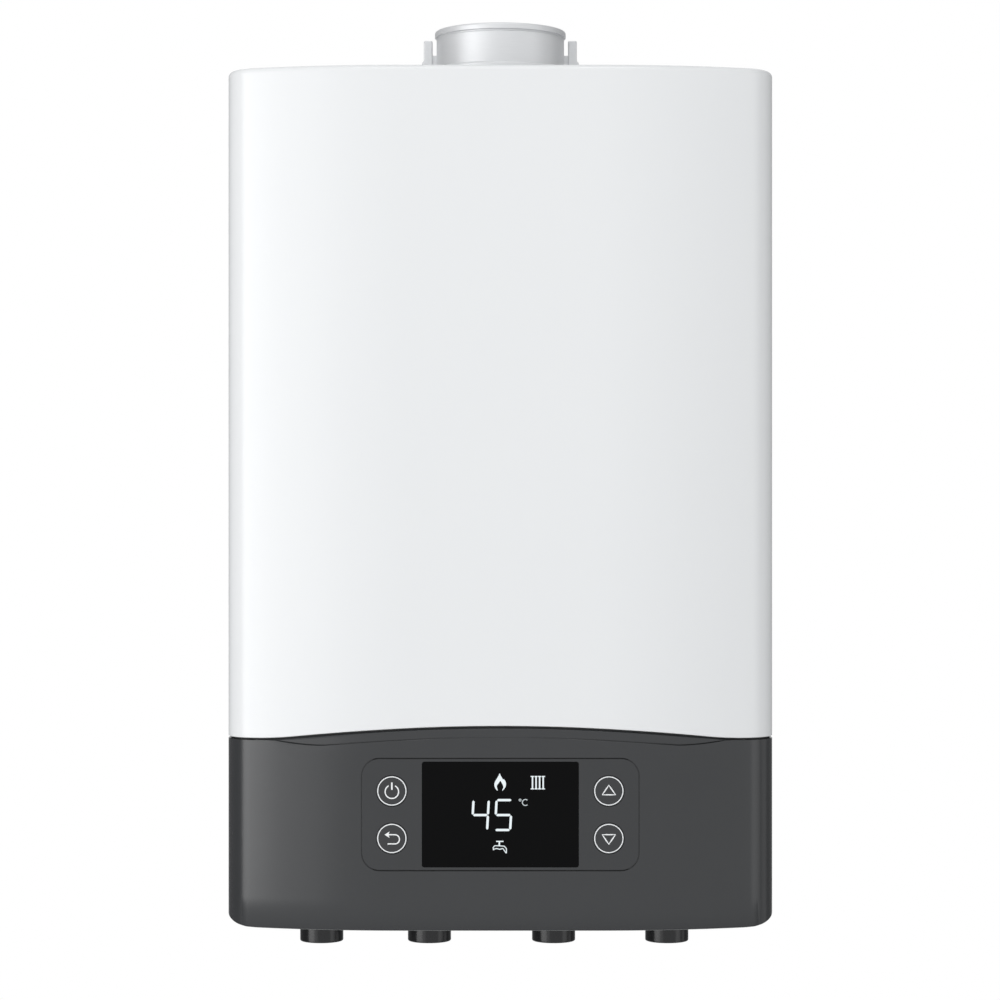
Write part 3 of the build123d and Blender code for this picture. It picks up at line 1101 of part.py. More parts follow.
# Heating pipes between the water blocks and the heat exchanger.
HEATING_BEND_R = 25.0
CROSSING_Z = 0.0               # the heating pipes step inwards up to here
flow_route = [
    (FLOW_PORT_X, PIPE_Y, FLOW_BLOCK_TOP_Z + 12),
    (FLOW_PORT_X, PIPE_Y, CROSSING_Z - 60),
    (-WATER_PORT_X, PIPE_Y, CROSSING_Z),
    (-WATER_PORT_X, PIPE_Y, PORT_LOW_Z),
]
return_route = [
    (PUMP_PORT_X, PIPE_Y, BOSS_TOP_Z),
    (PUMP_PORT_X, PIPE_Y, CROSSING_Z - 40),
    (WATER_PORT_X, PIPE_Y, CROSSING_Z),
    (WATER_PORT_X, PIPE_Y, PORT_LOW_Z),
]
for name, route in (("flow_pipe", flow_route), ("return_pipe", return_route)):
    with BuildPart() as heating_pipe:
        add(pipe_run(route, HEATING_BEND_R, PIPE_R, PIPE_BORE_R))
    heating_pipe.part.label = name
    export_step(heating_pipe.part, f"parts/{name}.step")

# Safety valve with its discharge pipe through the base.
VALVE_FRONT_Y = -162.0
VALVE_REAR_Y = -118.0
VALVE_R = 14.0
with BuildPart() as safety_valve:
    add(rod((SAFETY_X, VALVE_REAR_Y, SAFETY_Z), VALVE_R, VALVE_REAR_Y - VALVE_FRONT_Y, TO_FRONT))
    add(block((SAFETY_X, -134, SAFETY_Z - 8), (RETURN_BLOCK_X, -122, SAFETY_Z + 8)))
    add(rod((SAFETY_X, SAFETY_PIPE_Y, GAS_END_Z), DISCHARGE_R, OUTER_TAIL_LENGTH, UP))
    add(rod((SAFETY_X, SAFETY_PIPE_Y, GAS_END_Z), DISCHARGE_R - TAIL_STEP, SAFETY_Z - GAS_END_Z, UP))
    add(rod((SAFETY_X, SAFETY_PIPE_Y, GAS_END_Z - 1), DISCHARGE_R - 1.5, 60, UP), mode=Mode.SUBTRACT)
    add(rod((SAFETY_X, -150, SAFETY_Z), SPINDLE_R + SHAFT_CLEAR, 20, TO_FRONT), mode=Mode.SUBTRACT)
safety_valve.part.label = "safety_valve"
export_step(safety_valve.part, "parts/safety_valve.step")

# Red test knob of the safety valve, lobed for the fingers.
LOBE_COUNT = 8
with BuildPart() as safety_knob:
    with BuildSketch(Plane.XZ.offset(-VALVE_FRONT_Y + 1)):
        with Locations((SAFETY_X, SAFETY_Z)):
            Circle(VALVE_R + 1)
            with PolarLocations(VALVE_R + 2.5, LOBE_COUNT):
                Circle(3, mode=Mode.SUBTRACT)
    extrude(amount=15)
    add(rod((SAFETY_X, VALVE_FRONT_Y - 2, SAFETY_Z), SPINDLE_R, 13, TO_WALL))
safety_knob.part.label = "safety_knob"
export_step(safety_knob.part, "parts/safety_knob.step")

# Filling tap under the casing: the stem turns in the bottom plate.
KNOB_TOP_Z = -335.0
KNOB_LOW_Z = -352.0
KNOB_R = 12.0
WING_HALF = 16.0
WING_LOW_Z = -360.0
CIRCLIP_R = 8.0
with BuildPart() as filling_knob:
    add(rod((FILL_X, FILL_Y, KNOB_TOP_Z - 1), FILL_STEM_R, 24, UP))
    add(rod((FILL_X, FILL_Y, KNOB_LOW_Z), KNOB_R, KNOB_TOP_Z - KNOB_LOW_Z, UP))
    add(block((FILL_X - WING_HALF, FILL_Y - 3, WING_LOW_Z), (FILL_X + WING_HALF, FILL_Y + 3, KNOB_LOW_Z + 4)))
    add(rod((FILL_X, FILL_Y, BASE_PLATE_Z + 0.4), CIRCLIP_R, 4, UP))
filling_knob.part.label = "filling_knob"
export_step(filling_knob.part, "parts/filling_knob.step")

# Cable gland for the mains lead.
GLAND_HEX_Z = -342.0
GLAND_END_Z = -350.0
with BuildPart() as cable_gland:
    add(rod((GLAND_X, GLAND_Y, SLEEVE_TOP_Z - 6.5), GLAND_R, 16, UP))
    with BuildSketch(Plane.XY.offset(GLAND_HEX_Z)):
        with Locations((GLAND_X, GLAND_Y)):
            RegularPolygon(1.5 * GLAND_R, 6)
    extrude(amount=SLEEVE_TOP_Z - GLAND_HEX_Z)
    add(rod((GLAND_X, GLAND_Y, GLAND_END_Z), GLAND_R + 1, GLAND_HEX_Z - GLAND_END_Z + 1, UP))
    add(rod((GLAND_X, GLAND_Y, BASE_PLATE_Z), GLAND_R + 3, 4, UP))
    add(rod((GLAND_X, GLAND_Y, GLAND_END_Z - 1), GLAND_BORE_R, 60, UP), mode=Mode.SUBTRACT)
cable_gland.part.label = "cable_gland"
export_step(cable_gland.part, "parts/cable_gland.step")

# ======================= control flap =======================

# Fascia: the swinging dark front with its finger grip, panel recess, ears and tongues.
FASCIA_HEIGHT = CREST_Z - BOTTOM_Z + 10
TONGUE_FRONT_Y = -192.0
EAR_REACH = 30.0
CUT_PROUD = 0.4             # the grip's cutter starts this far in front of the skin
with BuildPart() as fascia_core:
    extrude(casing_outline(PLASTIC, FLAP_REAR_Y + 5, BOTTOM_Z), amount=FASCIA_HEIGHT)
    extrude(below_joint(PLASTIC, -5), amount=DEPTH + 10, mode=Mode.INTERSECT)
with BuildPart() as grip_cutter:
    for station in range(GRIP_STATIONS + 1):
        x = GRIP_HALF * (2 * station / GRIP_STATIONS - 1)
        rise = joint_z(x) + 3 - grip_z(x)
        with BuildSketch(Plane.YZ.offset(x)):
            with BuildLine():
                Polyline(
                    (front_y(x) - CUT_PROUD, grip_z(x) - CUT_PROUD / GRIP_TILT),
                    (front_y(x) + GRIP_TILT * rise, grip_z(x) + rise),
                    (front_y(x) - 4, grip_z(x) + rise),
                    close=True,
                )
            make_face()
    loft()
with BuildPart() as fascia:
    extrude(casing_outline(0, FLAP_REAR_Y, BOTTOM_Z), amount=FASCIA_HEIGHT)
    extrude(below_joint(0, JOINT_GAP), amount=DEPTH + 10, mode=Mode.INTERSECT)
    add(fascia_core.part, mode=Mode.SUBTRACT)
    add(grip_cutter.part, mode=Mode.SUBTRACT)
    with BuildSketch(Plane.XZ.offset(-FRONT_Y + 1)):
        with Locations((0, PANEL_Z)):
            RectangleRounded(PANEL_W, PANEL_H, PANEL_R)
    extrude(amount=-PANEL_THICK - 1 - 0.1, mode=Mode.SUBTRACT)
    with BuildSketch(Plane.XZ.offset(-FRONT_Y)):
        with Locations((0, PANEL_Z)):
            RectangleRounded(PANEL_W - 2 * LEDGE, PANEL_H - 2 * LEDGE, PANEL_R - LEDGE)
    extrude(amount=-20, mode=Mode.SUBTRACT)
    for side in (-1, 1):
        with Locations((side * STRAP_X, FLAP_REAR_Y, BOTTOM_Z)):
            Box(5, 14, 12, mode=Mode.SUBTRACT)
        with BuildSketch(Plane.YZ.offset(side * EAR_X - EAR_THICK / 2)):
            with BuildLine():
                Polyline(
                    (HINGE_Y, HINGE_Z + KNUCKLE_R),
                    (HINGE_Y - EAR_REACH, HINGE_Z + KNUCKLE_R),
                    (HINGE_Y - EAR_REACH, HINGE_Z - KNUCKLE_R),
                    (HINGE_Y, HINGE_Z - KNUCKLE_R),
                )
                CenterArc((HINGE_Y, HINGE_Z), KNUCKLE_R, -90, 180)
            make_face()
            with Locations((HINGE_Y, HINGE_Z)):
                Circle(HINGE_BORE_R, mode=Mode.SUBTRACT)
        extrude(amount=EAR_THICK)
        with Locations((side * (CATCH_X + HALF_W - PLASTIC) / 2, TONGUE_FRONT_Y + 2, CATCH_Z)):
            Box(HALF_W - PLASTIC - CATCH_X + 2 * TONGUE_HALF, 4, TONGUE_H)
        with Locations((side * CATCH_X, TONGUE_FRONT_Y + 7, CATCH_Z)):
            Box(2 * TONGUE_HALF, 8, TONGUE_H)
fascia.part.label = "fascia"
export_step(fascia.part, "parts/fascia.step")

# Faceplate: follows the bowed front, with openings for the window and the four keys.
KEYS = {
    "key_power": (-KEY_X, KEY_TOP_Z),
    "key_back": (-KEY_X, KEY_LOW_Z),
    "key_up": (KEY_X, KEY_TOP_Z),
    "key_down": (KEY_X, KEY_LOW_Z),
}
with BuildPart() as front_skin:
    extrude(casing_outline(0, FLAP_REAR_Y, BOTTOM_Z), amount=FASCIA_HEIGHT)
with BuildPart() as faceplate:
    with BuildSketch(Plane.XZ.offset(-FRONT_Y - PANEL_THICK)):
        with Locations((0, PANEL_Z)):
            RectangleRounded(PANEL_W - 2 * PANEL_GROOVE, PANEL_H - 2 * PANEL_GROOVE, PANEL_R - PANEL_GROOVE)
            RectangleRounded(WINDOW_W + WINDOW_GAP, WINDOW_H + WINDOW_GAP, WINDOW_R, mode=Mode.SUBTRACT)
        with Locations(*KEYS.values()):
            Circle(KEY_R + KEY_GAP, mode=Mode.SUBTRACT)
    extrude(amount=PANEL_THICK + 1)
    add(front_skin.part, mode=Mode.INTERSECT)
faceplate.part.label = "faceplate"
export_step(faceplate.part, "parts/faceplate.step")

# Display window: a black lens flush with the faceplate.
with BuildPart() as display_window:
    with BuildSketch(Plane.XZ.offset(-FRONT_Y - WINDOW_THICK)):
        with Locations((0, PANEL_Z)):
            RectangleRounded(WINDOW_W, WINDOW_H, WINDOW_R)
    extrude(amount=WINDOW_THICK)
display_window.part.label = "display_window"
export_step(display_window.part, "parts/display_window.step")

# Four round keys, each a cap with a flange that keeps it behind the faceplate.
for name, (key_x, key_z) in KEYS.items():
    with BuildPart() as key:
        with BuildSketch(Plane.XZ.offset(-KEY_FLANGE_Y)):
            with Locations((key_x, key_z)):
                Circle(KEY_R)
        extrude(amount=KEY_FLANGE_Y - FRONT_Y + 1)
        add(front_skin.part, mode=Mode.INTERSECT)
        with BuildSketch(Plane.XZ.offset(-KEY_BACK_Y)):
            with Locations((key_x, key_z)):
                Circle(KEY_FLANGE_R)
        extrude(amount=KEY_BACK_Y - KEY_FLANGE_Y)
    key.part.label = name
    export_step(key.part, f"parts/{name}.step")

# Display board with its panel module and the four tactile switches.
DISPLAY_BOARD = (206.0, 76.0)
MODULE = (112.0, 70.0)
MODULE_FRONT_Y = -277.0
SWITCH_SIDE = 6.2
SWITCH_H = 3.4
PLUNGER_R = 1.7
PLUNGER_Y = -275.2
with BuildPart() as display_board:
    with Locations((0, BOARD_Y + BOARD_THICK / 2, PANEL_Z)):
        Box(DISPLAY_BOARD[0], BOARD_THICK, DISPLAY_BOARD[1])
    with Locations((0, (BOARD_Y + MODULE_FRONT_Y) / 2, PANEL_Z)):
        Box(MODULE[0], BOARD_Y - MODULE_FRONT_Y, MODULE[1])
    for key_x, key_z in KEYS.values():
        with Locations((key_x, BOARD_Y - SWITCH_H / 2, key_z)):
            Box(SWITCH_SIDE, SWITCH_H, SWITCH_SIDE)
        add(rod((key_x, BOARD_Y, key_z), PLUNGER_R, BOARD_Y - PLUNGER_Y, TO_FRONT))
display_board.part.label = "display_board"
export_step(display_board.part, "parts/display_board.step")

# Control box: a tray behind the panel, open at the back.
BOX_HALF = 148.0
BOX_FRONT_Y = -269.4
BOX_REAR_Y = -208.0
BOX_LOW_Z = -332.0
BOX_TOP_Z = -200.0
BOX_WALL = 2.5
with BuildPart() as control_box:
    add(block((-BOX_HALF, BOX_FRONT_Y, BOX_LOW_Z), (BOX_HALF, BOX_REAR_Y, BOX_TOP_Z)))
    extrude(casing_outline(PLASTIC, FLAP_REAR_Y, BOTTOM_Z), amount=FASCIA_HEIGHT, mode=Mode.INTERSECT)
    add(
        block(
            (-BOX_HALF + BOX_WALL, BOX_FRONT_Y + BOX_WALL, BOX_LOW_Z + BOX_WALL),
            (BOX_HALF - BOX_WALL, BOX_REAR_Y + 1, BOX_TOP_Z - BOX_WALL),
        ),
        mode=Mode.SUBTRACT,
    )
control_box.part.label = "control_box"
export_step(control_box.part, "parts/control_box.step")

# Main circuit board with its transformer, relays and capacitors.
MAIN_BOARD_Y = -258.0
MAIN_BOARD = (280.0, 116.0)
TRANSFORMER_DEPTH = 34.0
RELAY_COUNT = 4
RELAY_PITCH = 26.0
RELAY_W = 20.0
RELAY_DEPTH = 16.0
CAPACITOR_COUNT = 3
CAPACITOR_PITCH = 22.0
CAPACITOR_R = 8.0
STANDOFF_X = 130.0
STANDOFF_Z = (-318.0, -214.0)
with BuildPart() as main_board:
    with Locations((0, MAIN_BOARD_Y, (BOX_LOW_Z + BOX_TOP_Z) / 2)):
        Box(MAIN_BOARD[0], BOARD_THICK, MAIN_BOARD[1])
    board_y = MAIN_BOARD_Y + BOARD_THICK / 2
    add(block((-120, board_y, -310), (-75, board_y + TRANSFORMER_DEPTH, -262)))
    for relay in range(RELAY_COUNT):
        relay_x = -50 + RELAY_PITCH * relay
        add(block((relay_x, board_y, -316), (relay_x + RELAY_W, board_y + RELAY_DEPTH, -288)))
    for capacitor in range(CAPACITOR_COUNT):
        add(rod((70 + CAPACITOR_PITCH * capacitor, board_y, -240), CAPACITOR_R, 25, TO_WALL))
    for standoff_x in (-STANDOFF_X, STANDOFF_X):
        for standoff_z in STANDOFF_Z:
            add(rod((standoff_x, BOX_FRONT_Y + BOX_WALL, standoff_z), 4, 8.5, TO_WALL))
main_board.part.label = "main_board"
export_step(main_board.part, "parts/main_board.step")
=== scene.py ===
import bpy
import json
import math
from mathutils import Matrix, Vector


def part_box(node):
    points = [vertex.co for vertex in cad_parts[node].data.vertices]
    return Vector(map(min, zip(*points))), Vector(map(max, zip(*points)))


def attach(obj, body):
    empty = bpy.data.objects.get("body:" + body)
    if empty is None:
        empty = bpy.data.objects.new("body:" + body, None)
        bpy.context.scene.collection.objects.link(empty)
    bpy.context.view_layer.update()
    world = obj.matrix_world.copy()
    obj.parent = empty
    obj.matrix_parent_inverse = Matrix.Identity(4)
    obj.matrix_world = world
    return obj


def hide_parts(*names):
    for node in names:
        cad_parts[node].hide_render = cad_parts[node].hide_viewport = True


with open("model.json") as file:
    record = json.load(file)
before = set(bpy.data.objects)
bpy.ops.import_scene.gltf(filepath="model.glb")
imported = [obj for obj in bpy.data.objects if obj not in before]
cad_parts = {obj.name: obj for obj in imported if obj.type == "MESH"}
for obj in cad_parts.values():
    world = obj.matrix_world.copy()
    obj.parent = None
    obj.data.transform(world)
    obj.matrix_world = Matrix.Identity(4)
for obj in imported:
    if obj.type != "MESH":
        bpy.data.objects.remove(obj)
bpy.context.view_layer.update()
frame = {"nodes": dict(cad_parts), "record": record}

# A wall-hung combination boiler. Metres, origin on the wall plane, +X right as
# seen from the front, +Y into the wall, +Z up.
MM = 0.001
WELD = 0.002 * MM
X_AXIS, Y_AXIS, Z_AXIS = (1, 0, 0), (0, 1, 0), (0, 0, 1)
SIDES = ((-1, "left"), (1, "right"))

# ---- sizes of the casing, from the frame ----
casing_low, casing_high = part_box("front_casing")
HALF_W = casing_high.x
FRONT_Y = casing_low.y
TOP_Z = casing_high.z
CASING_REAR_Y = casing_high.y
FLOOR_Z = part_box("fascia")[0].z
FLAP_REAR_Y = -177 * MM

# ---- plan of the bowed front ----
FLAT_HALF = 80 * MM
SHOULDER_R = 385 * MM
CORNER_R = 30 * MM
SHOULDER_TURN = 18.05
CORNER_X = FLAT_HALF + (SHOULDER_R - CORNER_R) * math.sin(math.radians(SHOULDER_TURN))
CORNER_Y = FRONT_Y + SHOULDER_R - (SHOULDER_R - CORNER_R) * math.cos(math.radians(SHOULDER_TURN))
FLAT_STEPS = 20
SHOULDER_STEPS = 24
CORNER_STEPS = 20

# ---- elevation of the arched joint ----
CREST_Z = -181.4 * MM
CREST_R = 1510 * MM
CREST_HALF = 165 * MM
TAIL_X = 200 * MM
JOINT_GAP = 1.5 * MM
CREST_ANGLE = math.asin(CREST_HALF / CREST_R)
TAIL_R = (TAIL_X - CREST_HALF) / math.sin(CREST_ANGLE)
TAIL_Z = CREST_Z - (CREST_R + TAIL_R) * (1 - math.cos(CREST_ANGLE))

# ---- walls and edges ----
STEEL = 1.2 * MM
PLASTIC = 3.6 * MM
TOP_ROLL_R = 4.5 * MM
TOP_RETURN = 22 * MM
FLANGE_IN = 12 * MM
FLANGE_INSET = 0.05 * MM
FLANGE_FROM_HEM = 2 * MM
FLANGE_FROM_TOP = 6 * MM
HEM_R = 0.8 * MM
TRIM_OUTLINE = ((2.2, -1.25), (2.2, 4), (3.7, 4), (3.7, -1.25))
LIP_R = 0.9 * MM
LIP_BEVEL = 0.5 * MM
LIP_LAND = 3.2 * MM
LIP_STEPS = ((0.84, 0.82), (0.16, 0.18))
CORNER_RX = 25 * MM
CORNER_RZ = 10 * MM
FLOOR_EDGE = CORNER_RX * (1 - math.cos(math.radians(20)))
FLOOR_RING = 1.5 * MM

# ---- finger grip ----
GRIP_LOW_X = 141.5 * MM
GRIP_MID_Z = FLOOR_Z + 153.5 * MM
GRIP_LOW_Z = FLOOR_Z + 146.8 * MM
GRIP_FALL = 1.7
GRIP_END_X = 182.5 * MM
GRIP_END_RISE = 4 * MM
GRIP_FADES = (178 * MM, 184 * MM)
GRIP_TILT = 0.22
GROOVE_DEPTH = 2.2 * MM
GROOVE_HEIGHT = 0.8 * MM
LIP_HEIGHT = 0.5 * MM
LIP_DEPTH = 0.45 * MM
CREASE_FAINT = 0.10
CREASE_DEEPENS = ((0.60, 15 * MM, 95 * MM), (0.80, 118 * MM, 150 * MM))
ROW_TOP = TAIL_Z - JOINT_GAP
ROW_CREASE = -197.5 * MM
ROW_BELOW = -202.5 * MM
CREASE_ROWS = (0.9 * MM, GROOVE_HEIGHT, 0.06 * MM, 0.0, -0.16 * MM, -0.32 * MM, -LIP_HEIGHT)
GRIP_ROWS_FROM = 1.1 * MM
GRIP_ROOM = LIP_R + GRIP_ROWS_FROM + 0.2 * MM

# ---- hinge and catches of the flap ----
HINGE_Y = -176 * MM
HINGE_Z = FLOOR_Z + 4.5 * MM
HINGE_BORE_R = 2.05 * MM
EAR_X = 196.5 * MM
EAR_THICK = 5 * MM
EAR_R = 4.45 * MM
EAR_REACH = 30 * MM
STRAP_X = 190.5 * MM
NOTCH_HALF = (2.5 * MM, 7 * MM, 6 * MM)
TONGUE_X = 180 * MM
TONGUE_HALF = 0.8 * MM
TONGUE_FRONT_Y = -192 * MM
TONGUE_Z = -225 * MM
TONGUE_H = 6 * MM
SKIRT_LIP_OUTLINE = (
    (211, -172.6), (216, -172.6), (216, -179), (214.6, -179), (214.6, -174), (211, -174),
)

# ---- control panel ----
PANEL_W = 221.3 * MM
PANEL_H = 90 * MM
PANEL_R = 14.7 * MM
PANEL_Z = -251.6 * MM
PANEL_GROOVE = 0.95 * MM
PANEL_THICK = 2 * MM
GASKET_Y = 1.5 * MM
LEDGE = 5 * MM
WINDOW_R = 2 * MM
WINDOW_GAP = 0.3 * MM
KEYS = ("power", "back", "up", "down")
KEY_R = 12.3 * MM
KEY_GAP = 0.3 * MM
KEY_EDGE = 0.35 * MM
KEY_DIMPLE_R = 0.2 * MM
KEY_FLANGE = 0.9 * MM
KEY_FLANGE_Y = -277.2 * MM
KEY_BACK_Y = -276.2 * MM
KEY_FACE_Y = FRONT_Y + 0.12 * MM
PRINT_Y = FRONT_Y + 0.06 * MM
PRINT_THICK = 0.05 * MM
RING_R = 11.2 * MM
RING_LINE = 0.74 * MM
SIGN_LINE = 0.92 * MM
TAP_LINE = 0.7 * MM

# ---- figures of the display ----
DIGIT_HALF_W = 6.05 * MM
DIGIT_HALF_H = 11.85 * MM
DIGIT_Z = -252.0 * MM
DIGIT_SLANT = 0.055
STROKE = 1.85 * MM
SEGMENT_GAP = 0.25 * MM

# ---- flue collar and pipe sleeves ----
FLUE_Y = -140 * MM
SLEEVE_Y = -125 * MM
SLEEVES_X = (-151.2 * MM, -60 * MM, 45.1 * MM, 140.9 * MM)
SLEEVE_R = 18.3 * MM
SLEEVE_BORE_R = 14.4 * MM


# ---- shaping ----

def call(piece, name):
    piece.name = piece.data.name = name
    return piece


def draw_from(name, x, y, z):
    """Starts a mesh with one point, left selected in edit mode."""
    bpy.ops.object.select_all(action="DESELECT")
    bpy.ops.mesh.primitive_plane_add(size=MM, enter_editmode=True)
    bpy.ops.mesh.merge(type="CENTER")
    bpy.ops.transform.translate(value=(x, y, z))
    return call(bpy.context.object, name)


def run(x=0.0, y=0.0, z=0.0, count=1):
    """Carries what is selected straight on, in equal steps."""
    step = (x / count, y / count, z / count)
    for _ in range(count):
        bpy.ops.mesh.extrude_region_move(TRANSFORM_OT_translate={"value": step})


def draw_through(name, points, count=1):
    """Draws straight lines from point to point, each in equal steps."""
    piece = draw_from(name, *points[0])
    for start, end in zip(points, points[1:]):
        run(*(b - a for a, b in zip(start, end)), count)
    return piece


def turn(degrees, centre, axis, steps):
    """Carries what is selected round an axis."""
    bpy.ops.mesh.spin(steps=steps, angle=-math.radians(degrees), center=centre, axis=axis)


def select_everything():
    bpy.ops.mesh.select_all(action="SELECT")


def select_open_edges():
    bpy.ops.mesh.select_all(action="DESELECT")
    bpy.ops.mesh.select_non_manifold()


def weld():
    """Selects the whole mesh and merges the points that coincide."""
    select_everything()
    bpy.ops.mesh.remove_doubles(threshold=WELD)


def leave_drawing():
    """Welds the drawn mesh, points its faces outwards and leaves edit mode."""
    weld()
    bpy.ops.mesh.normals_make_consistent(inside=False)
    bpy.ops.object.editmode_toggle()


def raise_outline(**way):
    """Fills the drawn outline and carries it straight on into a solid."""
    weld()
    bpy.ops.mesh.edge_face_add()
    run(**way)
    leave_drawing()


def hold(piece):
    """Makes one piece the only selected and active one."""
    bpy.ops.object.select_all(action="DESELECT")
    piece.select_set(True)
    bpy.context.view_layer.objects.active = piece


def settle(piece):
    """Moves a piece's place and turn into its mesh."""
    hold(piece)
    bpy.ops.object.transform_apply(location=True, rotation=True, scale=True)


def modify(piece, kind, **settings):
    """Adds a modifier, sets it and applies it."""
    hold(piece)
    modifier = piece.modifiers.new(kind, kind)
    for setting, value in settings.items():
        setattr(modifier, setting, value)
    bpy.ops.object.modifier_apply(modifier=modifier.name)


def soften(piece, width, segments=2, angle=35):
    """Rounds the sharp edges and shades the rest smooth."""
    limit = math.radians(angle)
    modify(
        piece, "BEVEL", width=width, segments=segments, limit_method="ANGLE", angle_limit=limit,
        use_clamp_overlap=True,
    )
    smooth(piece, angle)
    even_shading(piece)


def smooth(piece, angle=35):
    hold(piece)
    bpy.ops.object.shade_smooth_by_angle(angle=math.radians(angle))


def even_shading(piece):
    """Lets the large flat faces decide the shading beside narrow ones."""
    modify(piece, "WEIGHTED_NORMAL", keep_sharp=True, weight=80)


def reshape(piece, rule):
    """Moves each point of a mesh where a rule puts it."""
    for vertex in piece.data.vertices:
        vertex.co = rule(vertex.co.x, vertex.co.y, vertex.co.z)
    piece.data.update()


def cut_away(piece, *cutters):
    """Cuts pieces out of a piece and removes them."""
    for cutter in cutters:
        modify(piece, "BOOLEAN", operation="DIFFERENCE", object=cutter, solver="EXACT")
        bpy.data.objects.remove(cutter)


def join(first, *others):
    hold(first)
    for other in others:
        other.select_set(True)
    bpy.ops.object.join()
    return first


def block(name, corner, opposite):
    """A rectangular block between two opposite corners."""
    middle = [(a + b) / 2 for a, b in zip(corner, opposite)]
    bpy.ops.object.select_all(action="DESELECT")
    bpy.ops.mesh.primitive_cube_add(size=1, location=middle)
    piece = call(bpy.context.object, name)
    piece.scale = [abs(b - a) for a, b in zip(corner, opposite)]
    settle(piece)
    return piece


def block_about(name, centre, half):
    """A rectangular block about a point, from its half sizes."""
    corners = [[at + way * reach for at, reach in zip(centre, half)] for way in (-1, 1)]
    return block(name, *corners)


def rod(name, centre, radius, length, axis, sides=48):
    """A round bar from a centre point along +X, +Y or +Z."""
    turned = {"X": (0, math.pi / 2, 0), "Y": (-math.pi / 2, 0, 0), "Z": (0, 0, 0)}[axis]
    middle = [at + (length / 2 if axis == way else 0) for at, way in zip(centre, "XYZ")]
    bpy.ops.object.select_all(action="DESELECT")
    bpy.ops.mesh.primitive_cylinder_add(
        vertices=sides, radius=radius, depth=length, location=middle, rotation=turned
    )
    piece = call(bpy.context.object, name)
    settle(piece)
    return piece


def lathe(name, axis_x, axis_y, outline, steps=96):
    """A shape turned round a vertical axis from a closed outline of (radius, height)."""
    points = [(axis_x + radius, axis_y, height) for radius, height in outline]
    piece = draw_through(name, points + points[:1])
    weld()
    turn(360, (axis_x, axis_y, 0), Z_AXIS, steps)
    leave_drawing()
    return piece


def rounded_plate(name, width, height, radius, centre_z, front, depth):
    """A plate with rounded corners, facing the front."""
    half_w, half_h = width / 2 - radius, height / 2 - radius
    piece = draw_from(name, -half_w, front, centre_z + height / 2)
    run(x=2 * half_w)
    for right, up, x, z in ((1, 1, 0, -2), (1, -1, -2, 0), (-1, -1, 0, 2), (-1, 1, 0, 0)):
        turn(90, (right * half_w, front, centre_z + up * half_h), Y_AXIS, 10)
        if x or z:
            run(x=x * half_w, z=z * half_h)
    raise_outline(y=depth)
    return piece


def ease(value, start, end):
    """A smooth step from 0 at start to 1 at end."""
    part = min(max((value - start) / (end - start), 0.0), 1.0)
    return part * part * (3 - 2 * part)


def between(value, low, high, new_low, new_high):
    return new_low + (new_high - new_low) * (value - low) / (high - low)


# ---- finishes ----

def arithmetic(operation, reflected=False):
    def reckon(grade, other):
        pair = (other, grade) if reflected else (grade, other)
        return grade.nodes.node("Math", dict(enumerate(pair)), operation=operation)

    return reckon


class Grade:
    """A number or colour that varies over a surface; arithmetic adds Math nodes."""

    __add__, __radd__ = arithmetic("ADD"), arithmetic("ADD", True)
    __sub__, __rsub__ = arithmetic("SUBTRACT"), arithmetic("SUBTRACT", True)
    __mul__, __rmul__ = arithmetic("MULTIPLY"), arithmetic("MULTIPLY", True)
    __lt__, __gt__ = arithmetic("LESS_THAN"), arithmetic("GREATER_THAN")
    at_least = arithmetic("MAXIMUM")

    def __init__(self, nodes, socket):
        self.nodes = nodes
        self.socket = socket


class Nodes:
    """The shader nodes of a material or of the world."""

    def __init__(self, owner):
        owner.use_nodes = True
        self.tree = owner.node_tree

    def put(self, node, values):
        for key, value in values.items():
            if isinstance(value, Grade):
                self.tree.links.new(value.socket, node.inputs[key])
            else:
                node.inputs[key].default_value = value

    def node(self, kind, values=None, output=0, **settings):
        """Adds a node, sets it, feeds its inputs and gives one of its outputs."""
        made = self.tree.nodes.new("ShaderNode" + kind)
        for setting, value in settings.items():
            setattr(made, setting, value)
        self.put(made, values or {})
        return Grade(self, made.outputs[output])

    def show(self, seen, lit, white, output):
        """Shows one shader by the light it gives, and plain white where the mask seen is 1."""
        mix = self.node("MixShader", {0: seen, 1: lit, 2: white})
        self.put(self.tree.nodes[output], {"Surface": mix})


